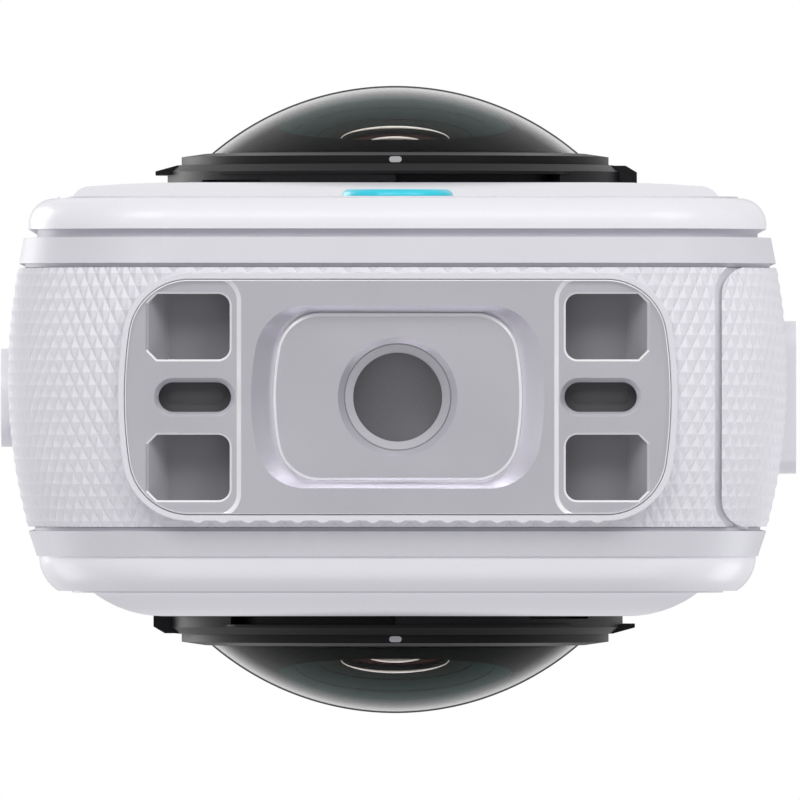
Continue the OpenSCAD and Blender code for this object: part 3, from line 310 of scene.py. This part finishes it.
def add_rim_gloss(paint):
    """Clear coat that a dome shows only where it turns away."""
    tree = paint.node_tree
    facing = tree.nodes.new("ShaderNodeLayerWeight")
    rim = tree.nodes.new("ShaderNodeMapRange")
    rim.inputs["From Min"].default_value = RIM_GLOSS_START
    rim.inputs["From Max"].default_value = RIM_GLOSS_FULL
    tree.links.new(facing.outputs["Facing"], rim.inputs["Value"])
    tree.links.new(rim.outputs["Result"], tree.nodes["Principled BSDF"].inputs["Coat Weight"])


GRIP = make_finish("grip_polymer", (225, 224, 230), (232, 231, 237), 0.5)
FRAME = make_finish("frame_satin", (215, 214, 221), (220, 219, 226), 0.42)
SHELL = make_finish("shell_white", (238, 237, 243), (243, 242, 248), 0.3, blotch=60)
COLLAR = make_finish("collar_polymer", (223, 222, 228), (228, 227, 233), 0.5)
PLATE = make_finish("plate_blasted", (216, 214, 222), (221, 219, 227), 0.34, metal=0.85, grain=14000)
# Near-white, hardly metallic copy of the plate's finish: a painted highlight on the plate's cut edges, its
# outer bevel and the pad's edge.
CUT_EDGE_HIGHLIGHT = make_finish("plate_cut_edge_painted_highlight", (247, 247, 250), (252, 252, 254), 0.3, metal=0.1)
# Darker copy of the plate's metal: painted shade on the deep faces of the pockets and slots.
DEEP_SHADE = make_finish("plate_deep_painted_shade", (146, 145, 150), (154, 153, 158), 0.5, metal=0.3, grain=14000)
# Grey without the metal: painted shade on the plate's pocket walls, darker than the blasted plate, and a
# painted highlight on the nut's lead-in, lighter than the turned steel.
WALL_SHADE_AND_HIGHLIGHT = make_finish("plate_wall_painted_shade_and_highlight", (190, 189, 195), (197, 196, 202), 0.5, metal=0.1, grain=14000)
SHADE = make_finish("plate_shade", (88, 87, 92), (96, 95, 100), 0.5, metal=0.3, grain=14000)
NUT = make_finish("nut_turned", (150, 150, 155), (165, 165, 170), 0.35, metal=0.8)
SCREEN = make_finish("screen_gloss", (9, 9, 11), (12, 12, 14), 0.06, spread=0.04, bump=0,
                     Specular_IOR_Level=0.3)
LENS_METAL = make_finish("lens_black", (14, 14, 17), (19, 19, 22), 0.42, Specular_IOR_Level=0.2)
DOME = make_finish("dome_glass", (232, 244, 242), (240, 248, 247), 0.02, spread=0.01, bump=0,
                   Transmission_Weight=1, IOR=1.22, Specular_Tint=(0, 0, 0, 1))
add_rim_gloss(DOME)
ELEMENT = make_finish("element_coated", (62, 36, 36), (70, 42, 41), 0.12, spread=0.04, bump=0)
# Near-white rings inside the lens glass: painted glints standing for the reflections on the next lens's
# edges.
PAINTED_GLINT = make_finish("painted_glint_rim", (250, 232, 226), (254, 240, 234), 0.3, bump=0)
HOOD = make_finish("hood_black", (14, 14, 14), (19, 19, 19), 0.7, Specular_IOR_Level=0)
MARK = make_finish("mark_print", (185, 185, 188), (195, 195, 198), 0.5)
ACCENT = make_finish("button_cyan", (40, 205, 226), (50, 213, 233), 0.3)
INNER = make_finish("inner_black", (30, 30, 32), (40, 40, 42), 0.6)
BOARD = make_finish("board_green", (14, 58, 34), (22, 76, 46), 0.4)
COPPER = make_finish("copper_bare", (196, 140, 92), (214, 160, 110), 0.35, metal=1.0)
STEEL = make_finish("steel_plain", (176, 176, 180), (192, 192, 196), 0.3, metal=1.0)
SEAL = make_finish("seal_rubber", (22, 22, 23), (30, 30, 31), 0.7)
LIGHT = make_finish("light_clear", (205, 238, 244), (212, 244, 250), 0.15)

SLOT_FINISH = {
    "grip": GRIP, "frame": FRAME, "shell": SHELL, "plate": PLATE, "nut": NUT, "screen": SCREEN,
    "lens_metal": LENS_METAL, "dome": DOME, "element": ELEMENT, "mark": MARK, "accent": ACCENT,
    "inner_plastic": INNER, "board": BOARD, "copper": COPPER, "steel": STEEL, "seal": SEAL,
    "light": LIGHT,
}


def paint_cad_nodes():
    for part in frame["record"]["subparts"]:
        piece = nodes[part["node"]]
        finish = SLOT_FINISH[part["material_slot"]]
        if piece.data.materials:
            for i in range(len(piece.data.materials)):
                piece.material_slots[i].material = finish
        else:
            piece.data.materials.append(finish)


paint_cad_nodes()


# Making pieces, with limits in millimetres and angles in radians

MERGE_LIMIT = 0.001
JOIN_LIMIT = 0.0005
SHARP_ANGLE = 0.6
PLATE_SHARP_ANGLE = 0.3


def mesh_object(name, shape):
    """A new object from a bmesh, which is freed."""
    mesh = bpy.data.meshes.new(name)
    shape.to_mesh(mesh)
    shape.free()
    piece = bpy.data.objects.new(name, mesh)
    scene.collection.objects.link(piece)
    return piece


def join_rings(shape, rings):
    """Faces between rings of points that follow each other; a ring of one point makes a fan."""
    for low, high in zip(rings, rings[1:]):
        count = max(len(low), len(high))
        for i in range(count):
            k = (i + 1) % count
            corners = (low[i % len(low)], low[k % len(low)], high[k % len(high)], high[i % len(high)])
            shape.faces.new(list(dict.fromkeys(corners)))


def merge_close(shape):
    bmesh.ops.remove_doubles(shape, verts=shape.verts, dist=MERGE_LIMIT * MM)


def dress(name, shape, finish, body, replaced=None, sharp=SHARP_ANGLE):
    """Makes a piece of a bmesh in metres, smooth but for edges sharper than the given angle."""
    bmesh.ops.recalc_face_normals(shape, faces=shape.faces)
    for face in shape.faces:
        face.smooth = True
    for edge in shape.edges:
        edge.smooth = edge.calc_face_angle(0) < sharp
    piece = mesh_object(name, shape)
    piece.data.materials.append(finish)
    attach(piece, body)
    if replaced:
        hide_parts(replaced)
    return piece


def joined_copy(node):
    """Copy of a node's mesh in millimetres, with the corners of its faces joined."""
    shape = bmesh.new()
    shape.from_mesh(nodes[node].data)
    bmesh.ops.scale(shape, vec=(1 / MM,) * 3, verts=shape.verts)
    bmesh.ops.remove_doubles(shape, verts=shape.verts, dist=JOIN_LIMIT)
    return shape


# Knurled grip: pyramids cut into the band, the battery cover and the port door, all in millimetres

HALF_WIDTH = 22.45
BODY_HEIGHT = 124.5
BOTTOM_CORNER = 9
TOP_CORNER = 16
CROWN_RADIUS = 33
CROWN_CREST = -1.2
BOTTOM_STEP = 0.713
BOTTOM_COLUMNS = 19
SIDE_COLUMNS = 372
ROW_STEP = 0.709
EDGE_ROW = 11
PEAK_INSET = 0.04
KNURL_DEPTH = 0.19
SIDE_DEPTH = 0.125
SIDE_START = 22
SIDE_RUN = 5
FADE_START = 126
FADE_LENGTH = 8


def band_outline(s):
    """Point and outward direction on the band's crest line, s along it from the middle of the base."""
    side = -1 if s < 0 else 1
    s = abs(s)
    flat = HALF_WIDTH - BOTTOM_CORNER
    wall = BODY_HEIGHT - BOTTOM_CORNER - TOP_CORNER
    low_arc = BOTTOM_CORNER * math.pi / 2
    high_arc = TOP_CORNER * math.pi / 2
    if s < flat:
        x, z, nx, nz = s, 0, 0, -1
    elif s < flat + low_arc:
        turn = (s - flat) / BOTTOM_CORNER
        nx, nz = math.sin(turn), -math.cos(turn)
        x, z = flat + BOTTOM_CORNER * nx, BOTTOM_CORNER + BOTTOM_CORNER * nz
    elif s < flat + low_arc + wall:
        x, z, nx, nz = HALF_WIDTH, BOTTOM_CORNER + s - flat - low_arc, 1, 0
    else:
        turn = min((s - flat - low_arc - wall) / TOP_CORNER, math.pi / 2)
        nx, nz = math.cos(turn), math.sin(turn)
        x = HALF_WIDTH - TOP_CORNER + TOP_CORNER * nx
        z = BODY_HEIGHT - TOP_CORNER + TOP_CORNER * nz
        x -= max(s - flat - low_arc - wall - high_arc, 0)
    return side * x, z, side * nx, nz


def knurl_columns():
    """Places along the crest line: wide steps on the base, narrower ones up the corners and sides."""
    half = HALF_WIDTH - BOTTOM_CORNER + BOTTOM_CORNER * math.pi / 2
    half += BODY_HEIGHT - BOTTOM_CORNER - TOP_CORNER + TOP_CORNER * math.pi / 2
    half += HALF_WIDTH - TOP_CORNER
    places = [i * BOTTOM_STEP for i in range(BOTTOM_COLUMNS + 1)]
    step = (half - places[-1]) / SIDE_COLUMNS
    places += [places[-1] + step * k for k in range(1, SIDE_COLUMNS + 1)]
    count = len(places)
    right = [(i, places[i]) for i in range(count)]
    left = [(i, -places[i]) for i in range(count - 2, 0, -1)]
    return right + left


def is_peak(column, row):
    flipped = column <= BOTTOM_COLUMNS and row > 0
    return (column + row + flipped) % 2 == 1


def knurl_envelope():
    """Closed body whose skin is the knurled surface, a hair inside the band's own skin."""
    columns = knurl_columns()
    rows = range(-EDGE_ROW, EDGE_ROW + 1)
    shape = bmesh.new()
    grid = []
    for column, s in columns:
        x, z, nx, nz = band_outline(s)
        fade = min(max((FADE_START + FADE_LENGTH - abs(s)) / FADE_LENGTH, 0), 1)
        near_base = min(max((SIDE_START + SIDE_RUN - abs(s)) / SIDE_RUN, 0), 1)
        depth = (SIDE_DEPTH + (KNURL_DEPTH - SIDE_DEPTH) * near_base) * fade
        line = []
        for row in rows:
            y = row * ROW_STEP
            crown = CROWN_RADIUS - math.sqrt(CROWN_RADIUS ** 2 - (y - CROWN_CREST) ** 2)
            drop = crown + PEAK_INSET + (0 if is_peak(column, row) else depth)
            line.append(shape.verts.new((x - nx * drop, y, z - nz * drop)))
        grid.append(line)
    for i, (column, _) in enumerate(columns):
        here = grid[i]
        after = grid[(i + 1) % len(grid)]
        for k, row in enumerate(rows[:-1]):
            a, b, c, d = here[k], after[k], after[k + 1], here[k + 1]
            if is_peak(column, row):
                shape.faces.new((a, b, d))
                shape.faces.new((b, c, d))
            else:
                shape.faces.new((a, b, c))
                shape.faces.new((a, c, d))
    for k in (0, len(rows) - 1):
        hub = shape.verts.new((0, rows[k] * ROW_STEP, BODY_HEIGHT / 2))
        for i in range(len(grid)):
            shape.faces.new((hub, grid[i][k], grid[(i + 1) % len(grid)][k]))
    bmesh.ops.recalc_face_normals(shape, faces=shape.faces)
    return mesh_object("knurl_envelope", shape)


def knurl(node, body, envelope):
    """Stands a knurled copy in for a node of the grip."""
    blank = mesh_object("blank", joined_copy(node))
    cut = blank.modifiers.new("knurl", "BOOLEAN")
    cut.operation = "INTERSECT"
    cut.solver = "MANIFOLD"
    cut.object = envelope
    bpy.context.view_layer.update()
    shaped = blank.evaluated_get(bpy.context.evaluated_depsgraph_get())
    shape = bmesh.new()
    shape.from_mesh(shaped.data)
    bpy.data.objects.remove(blank)
    bmesh.ops.scale(shape, vec=(MM,) * 3, verts=shape.verts)
    piece = mesh_object(node + "_knurled", shape)
    piece.data.materials.clear()
    piece.data.materials.append(GRIP)
    piece.data.polygons.foreach_set("use_smooth", [False] * len(piece.data.polygons))
    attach(piece, body)
    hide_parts(node)


ENVELOPE = knurl_envelope()
knurl("grip_band", "camera_body", ENVELOPE)
knurl("battery_cover", "battery", ENVELOPE)
knurl("usb_door", "port_door", ENVELOPE)
bpy.data.objects.remove(ENVELOPE)


# Edges round the bottom plate and its pad, with painted highlights on both, and a pad at the battery
# cover's corner, all in millimetres

PLATE_WIDTH = 31.1
PLATE_DEPTH = 13.3
PLATE_BULGE = 25.6
PLATE_CORNER = 3.4
COLLAR_INNER = 0.09
COLLAR_OUTER = 0.45
COLLAR_LOW = 0.1
COLLAR_HIGH = 1.9
COLLAR_BEVEL = 0.05
RIM_ROOT = 0.01
RIM_BEVEL = 0.05
RIM_HIGH = 0.3
PAD_WIDTH = 13.98
PAD_DEPTH = 9.3
PAD_BULGE = 15
PAD_CORNER = 2.32
PAD_FACE = 1.1
PAD_PROUD = 0.012
PAD_THIN = 0.03
PAD_HIGHLIGHT_SIZE = 0.13
PAD_ROOT = 0.03
SEAM_PAD_LINE = ((19.05, 4.4), (19.4, 4.68), (19.75, 4.99), (20.1, 5.32))
SEAM_PAD_NEAR = 7.05
SEAM_PAD_FAR = 7.55
SEAM_PAD_THICK = 0.3
WAVE_FRONT = 0.06
WAVE_BACK = 0.13
WAVE_HALF = 0.35
EDGE_POINTS = 336
CORNER_POINTS = 24
BULGE_POINTS = 40


def bulged_edge(width, depth, bulge, corner):
    """Points round an oblong with bulged ends, with their outward directions, in millimetres."""
    corner_y = depth / 2 - corner
    arc_x = width / 2 - bulge
    turn = math.asin(corner_y / (bulge - corner))
    corner_x = arc_x + (bulge - corner) * math.cos(turn)
    quarter = []
    for i in range(BULGE_POINTS):
        angle = turn * i / BULGE_POINTS
        quarter.append((arc_x, 0, bulge, angle))
    for i in range(CORNER_POINTS):
        angle = turn + (math.pi / 2 - turn) * i / CORNER_POINTS
        quarter.append((corner_x, corner_y, corner, angle))
    points = []
    for x, y, radius, angle in quarter:
        way = (math.cos(angle), math.sin(angle))
        points.append((x + radius * way[0], y + radius * way[1], *way))
    for i in range(EDGE_POINTS // 2 + 1):
        points.append((corner_x * (1 - 2 * i / EDGE_POINTS), depth / 2, 0, 1))
    left = [(-x, y, -nx, ny) for x, y, nx, ny in reversed(points[1:-1])]
    upper = points + left
    lower = [(-x, -y, -nx, -ny) for x, y, nx, ny in upper]
    return upper + [(-points[0][0], 0, -1, 0)] + lower[1:]


def collar_wave(x, ny):
    """How far a pyramid pushes the collar's edge out, on the two long sides only."""
    if abs(ny) < 1:
        return 0
    if ny < 0:
        return WAVE_FRONT * (0.5 - 0.5 * math.cos(math.pi * x / BOTTOM_STEP))
    period = 2 * BOTTOM_STEP
    off = abs((x + BOTTOM_STEP) % period - BOTTOM_STEP)
    return WAVE_BACK * max(1 - (off / WAVE_HALF) ** 2, 0)


PLATE_EDGE = bulged_edge(PLATE_WIDTH, PLATE_DEPTH, PLATE_BULGE, PLATE_CORNER)


def edge_ring(name, edge, profile, wave, finish):
    """A closed ring along an edge, from points (distance out, height, share of the wave)."""
    shape = bmesh.new()
    rings = []
    for grow, height, waved in profile:
        ring = []
        for x, y, nx, ny in edge:
            out = grow + waved * wave(x, ny)
            ring.append(shape.verts.new(((x + nx * out) * MM, (y + ny * out) * MM, height * MM)))
        rings.append(ring)
    join_rings(shape, rings + rings[:1])
    dress(name, shape, finish, "camera_body")


def make_collar():
    """Smooth collar of the grip round the plate, its outer edge waved by the pyramids that meet it."""
    profile = ((COLLAR_INNER, COLLAR_HIGH, 0), (COLLAR_INNER, COLLAR_LOW + COLLAR_BEVEL, 0),
               (COLLAR_INNER + COLLAR_BEVEL, COLLAR_LOW, 0), (COLLAR_OUTER - COLLAR_BEVEL, COLLAR_LOW, 1),
               (COLLAR_OUTER, COLLAR_LOW + COLLAR_BEVEL, 1), (COLLAR_OUTER, COLLAR_HIGH, 1))
    edge_ring("grip_collar", PLATE_EDGE, profile, collar_wave, COLLAR)


def make_plate_rim():
    """Bevel on the outer edge of the bottom plate, near-white all round as a painted highlight."""
    profile = ((-RIM_ROOT, RIM_HIGH, 0), (-RIM_ROOT, 0, 0), (RIM_BEVEL, RIM_ROOT + RIM_BEVEL, 0),
               (RIM_BEVEL, RIM_HIGH, 0))
    edge_ring("bottom_plate_rim_painted_highlight", PLATE_EDGE, profile, collar_wave, CUT_EDGE_HIGHLIGHT)


def pad_highlight_reach(x, ny):
    """How far the pad's painted highlight reaches outwards: widest at the front, where the lamps' light
    falls, nothing at the back.
    """
    return PAD_HIGHLIGHT_SIZE * max(-ny, 0)


def make_pad_rim():
    """Painted highlight along the edge of the raised pad round the tripod hole."""
    edge = bulged_edge(PAD_WIDTH, PAD_DEPTH, PAD_BULGE, PAD_CORNER)
    profile = ((0, PAD_FACE + PAD_HIGHLIGHT_SIZE, 1), (0, PAD_FACE + PAD_ROOT, 1),
               (-PAD_THIN, PAD_FACE - PAD_PROUD, 0), (-PAD_THIN, PAD_FACE + PAD_HIGHLIGHT_SIZE, 0))
    edge_ring("pad_rim_painted_highlight", edge, profile, pad_highlight_reach, CUT_EDGE_HIGHLIGHT)


def make_seam_pad():
    """Fills the ledge under the battery cover's lower back corner, out to the frame's rail."""
    shape = bmesh.new()
    rings = []
    for x, z in SEAM_PAD_LINE:
        corners = ((SEAM_PAD_NEAR, z), (SEAM_PAD_FAR, z), (SEAM_PAD_FAR, z + SEAM_PAD_THICK),
                   (SEAM_PAD_NEAR, z + SEAM_PAD_THICK))
        rings.append([shape.verts.new((x * MM, y * MM, height * MM)) for y, height in corners])
    join_rings(shape, rings)
    shape.faces.new(rings[0])
    shape.faces.new(rings[-1])
    dress("seam_corner_pad", shape, GRIP, "camera_body")


make_collar()
make_plate_rim()
make_pad_rim()
make_seam_pad()


# Bottom plate: blasted flats, a painted highlight on the cut edges and painted shade in the deep places

EDGE_HEIGHT = 0.42
EDGE_FLATTEST = 0.94
EDGE_STEEPEST = 0.35
DEEP_START = 0.75
DEEP_FIELD = 9.3
WALL_FIELD = 12.9
WALL_STEEPEST = 0.12
HOLE_FIELD = 5.5
SLOT_FIELD = 1.75
SLOT_FLOOR = 2.5
OUTER_FIELD = 13.9
CUT_LIMIT = 2
SIDEWAYS = 2
# Finishes by index: blasted flats, a painted highlight on cut edges, and painted shade on deep faces, on
# pocket walls and on the slots' sides.
BLASTED, BRIGHT, DARK, POCKET_WALL, SLOT_SIDE = range(5)


def plate_finish_of(face):
    """Index of a plate face's finish, by where the face lies and how it leans: deep faces get painted
    shade, shallow leaning edges a painted highlight.
    """
    heights = [corner.co.z for corner in face.verts]
    middle = face.calc_center_median()
    leaning = EDGE_STEEPEST < abs(face.normal.z) < EDGE_FLATTEST
    if middle.xy.length < HOLE_FIELD * MM:
        return BLASTED
    if middle.z > DEEP_START * MM and abs(middle.x) > DEEP_FIELD * MM:
        if abs(middle.y) < SLOT_FIELD * MM and middle.z < SLOT_FLOOR * MM:
            return SLOT_SIDE
        wall = WALL_STEEPEST < abs(face.normal.z) < EDGE_FLATTEST
        return POCKET_WALL if wall and abs(middle.x) > WALL_FIELD * MM else DARK
    slot_mouth = abs(middle.x) > DEEP_FIELD * MM and abs(middle.y) < SLOT_FIELD * MM
    outer_side = abs(middle.x) > OUTER_FIELD * MM and abs(face.normal.x) > SIDEWAYS * abs(face.normal.y)
    cut = leaning and middle.z < CUT_LIMIT * MM and max(heights) - min(heights) < EDGE_HEIGHT * MM
    return BRIGHT if cut and not slot_mouth and not outer_side else BLASTED


def nut_finish_of(face):
    """Index of a nut face's finish: 0 turned, 1 the lead-in of its thread, painted lighter as a highlight.
    """
    return int(EDGE_STEEPEST < abs(face.normal.z) < EDGE_FLATTEST)


def finish_faces(node, finish_of, finishes):
    """Stands a copy in for a node of the body, with a finish chosen for each face."""
    shape = bmesh.new()
    shape.from_mesh(nodes[node].data)
    bmesh.ops.remove_doubles(shape, verts=shape.verts, dist=JOIN_LIMIT * MM)
    shape.normal_update()
    for face in shape.faces:
        face.material_index = finish_of(face)
    piece = dress(node + "_finished", shape, finishes[0], "camera_body", node, PLATE_SHARP_ANGLE)
    for finish in finishes[1:]:
        piece.data.materials.append(finish)


finish_faces("bottom_plate", plate_finish_of, (PLATE, CUT_EDGE_HIGHLIGHT, DEEP_SHADE, WALL_SHADE_AND_HIGHLIGHT, SHADE))
finish_faces("tripod_nut", nut_finish_of, (NUT, WALL_SHADE_AND_HIGHLIGHT))


# Lens glass: a solid crystal in front, with the hood, dish, near-white rims painted as glints and next
# lens set inside it

LENS_HEIGHT = 102
TURN_STEPS = 128
DOME_STEPS = 40
DOME_EDGE = 11.2
DOME_TOP = 19.1
BEZEL_TOP = 14.95
DOME_BURIED = 0.1
DOME_SEAT = 14.3
BARREL_WELL = 8.6
WELL_FLOOR = 10.2
HOOD_BORE = 6.3
HOOD_RIM = 10.6
HOOD_TOP = 14.9
HOOD_LOW = 14.42
HOOD_EDGE = 0.08
HOOD_SLOPE = 0.32
DISH_GAP = 0.1
# Radius where the teal starts, and the teal: a painted reflection of the lens coating, mixed into the
# dish's colour by radius.
DISH_DARK = 3.2
DISH_REFLECTION_TEAL = (26, 52, 52)
RIM_OUTER = 2.75
RIM_OUTER_AT = 13.62
RIM_INNER = 1.5
RIM_INNER_AT = 13.36
RIM_WIRE = 0.065
RIM_THIN = 0.012
RIM_SIDES = 8
NEXT_LENS_EDGE = 13.28
NEXT_LENS_TOP = 13.34
NEXT_LENS_BACK = 10.45
NEXT_LENS_STEPS = 8
HOOD_PROFILE = ((HOOD_BORE, HOOD_LOW), (HOOD_BORE, HOOD_TOP - HOOD_EDGE),
                (HOOD_BORE + HOOD_EDGE, HOOD_TOP),
                (HOOD_RIM - HOOD_SLOPE, HOOD_TOP), (HOOD_RIM, HOOD_TOP - HOOD_SLOPE), (HOOD_RIM, HOOD_LOW))
DISH_PROFILE = ((HOOD_BORE - DISH_GAP, 14.1), (5.2, 13.95), (5.2, 13.85), (4, 13.72), (4, 13.66),
                (RIM_OUTER, 13.5), (RIM_OUTER, 13.38), (4, 13.52), (5.2, 13.7),
                (HOOD_BORE - DISH_GAP, 13.95))


def turned(shape, side, profile):
    """Adds a body turned round a lens axis, from points (radius, distance out) in millimetres."""
    rings = []
    for radius, out in profile:
        ring = []
        for i in range(TURN_STEPS if radius else 1):
            turn = 2 * math.pi * i / TURN_STEPS
            x = radius * math.cos(turn)
            z = LENS_HEIGHT + radius * math.sin(turn)
            ring.append(shape.verts.new((x * MM, side * out * MM, z * MM)))
        rings.append(ring)
    join_rings(shape, rings)


def arc_profile(edge_r, edge_out, top_out, steps):
    """Points of a spherical cap from its top to its edge."""
    rise = top_out - edge_out
    radius = (edge_r * edge_r + rise * rise) / (2 * rise)
    middle = top_out - radius
    half = math.asin(edge_r / radius)
    return [(radius * math.sin(half * i / steps), middle + radius * math.cos(half * i / steps))
            for i in range(steps + 1)]


def make_dome(place, side):
    shape = bmesh.new()
    profile = arc_profile(DOME_EDGE, BEZEL_TOP, DOME_TOP, DOME_STEPS)
    buried = DOME_EDGE + DOME_BURIED
    profile += [(buried, BEZEL_TOP - DOME_BURIED), (buried, DOME_SEAT), (BARREL_WELL, DOME_SEAT),
                (BARREL_WELL, WELL_FLOOR), (0, WELL_FLOOR)]
    turned(shape, side, profile)
    dress(place + "_dome_crystal", shape, DOME, place + "_lens", place + "_dome_glass")


def make_dish_finish():
    """Dark coating, with teal painted in towards the dish's rim as the coating's coloured reflection."""
    paint = make_finish("dish_coated_painted_reflection", (30, 30, 28), (36, 36, 33), 0.3, bump=0, Specular_IOR_Level=0)
    tree = paint.node_tree
    tie = tree.links.new
    place = tree.nodes.new("ShaderNodeTexCoord")
    flat = tree.nodes.new("ShaderNodeVectorMath")
    flat.operation = "MULTIPLY_ADD"
    flat.inputs[1].default_value = (1, 0, 1)
    flat.inputs[2].default_value = (0, 0, -LENS_HEIGHT * MM)
    tie(place.outputs["Object"], flat.inputs[0])
    radius = tree.nodes.new("ShaderNodeVectorMath")
    radius.operation = "LENGTH"
    tie(flat.outputs["Vector"], radius.inputs[0])
    span = tree.nodes.new("ShaderNodeMapRange")
    span.inputs["From Min"].default_value = DISH_DARK * MM
    span.inputs["From Max"].default_value = HOOD_BORE * MM
    tie(radius.outputs["Value"], span.inputs["Value"])
    blend = tree.nodes.new("ShaderNodeMix")
    blend.data_type = "RGBA"
    blend.inputs["B"].default_value = linear(DISH_REFLECTION_TEAL)
    shader = tree.nodes["Principled BSDF"]
    base = shader.inputs["Base Color"].links[0].from_socket
    tie(span.outputs["Result"], blend.inputs["Factor"])
    tie(base, blend.inputs["A"])
    tie(blend.outputs["Result"], shader.inputs["Base Color"])
    return paint


DISH = make_dish_finish()


def crescent_ring(shape, side, radius, out):
    """A near-white rim painted as a glint: widest above and below the lens axis, thinning out to its sides
    like the reflection it stands for.
    """
    rings = []
    for i in range(TURN_STEPS):
        turn = 2 * math.pi * i / TURN_STEPS
        wire = RIM_THIN + (RIM_WIRE - RIM_THIN) * math.sin(turn) ** 2
        ring = []
        for k in range(RIM_SIDES):
            roll = 2 * math.pi * k / RIM_SIDES
            reach = radius + wire * math.cos(roll)
            x = reach * math.cos(turn)
            y = side * (out + wire * math.sin(roll))
            z = LENS_HEIGHT + reach * math.sin(turn)
            ring.append(shape.verts.new((x * MM, y * MM, z * MM)))
        rings.append(ring)
    join_rings(shape, rings + rings[:1])


def make_lens_seat(place, side):
    """Black hood in the crystal, and further in the coated dish with teal painted in as its reflection,
    two near-white rims painted as glints and the next lens.
    """
    shape = bmesh.new()
    turned(shape, side, HOOD_PROFILE + HOOD_PROFILE[:1])
    merge_close(shape)
    dress(place + "_lens_hood", shape, HOOD, place + "_lens")
    shape = bmesh.new()
    turned(shape, side, DISH_PROFILE + DISH_PROFILE[:1])
    merge_close(shape)
    dress(place + "_coated_dish", shape, DISH, "camera_body")
    shape = bmesh.new()
    front = arc_profile(RIM_OUTER, NEXT_LENS_EDGE, NEXT_LENS_TOP, NEXT_LENS_STEPS)
    turned(shape, side, front + [(RIM_OUTER, NEXT_LENS_BACK), (0, NEXT_LENS_BACK)])
    dress(place + "_coated_lens", shape, ELEMENT, "camera_body", place + "_inner_lens")
    shape = bmesh.new()
    for radius, out in ((RIM_OUTER, RIM_OUTER_AT), (RIM_INNER, RIM_INNER_AT)):
        crescent_ring(shape, side, radius, out)
    dress(place + "_lens_painted_glint_rims", shape, PAINTED_GLINT, "camera_body")


for lens_place, lens_side in (("front", -1), ("back", 1)):
    make_dome(lens_place, lens_side)
    make_lens_seat(lens_place, lens_side)
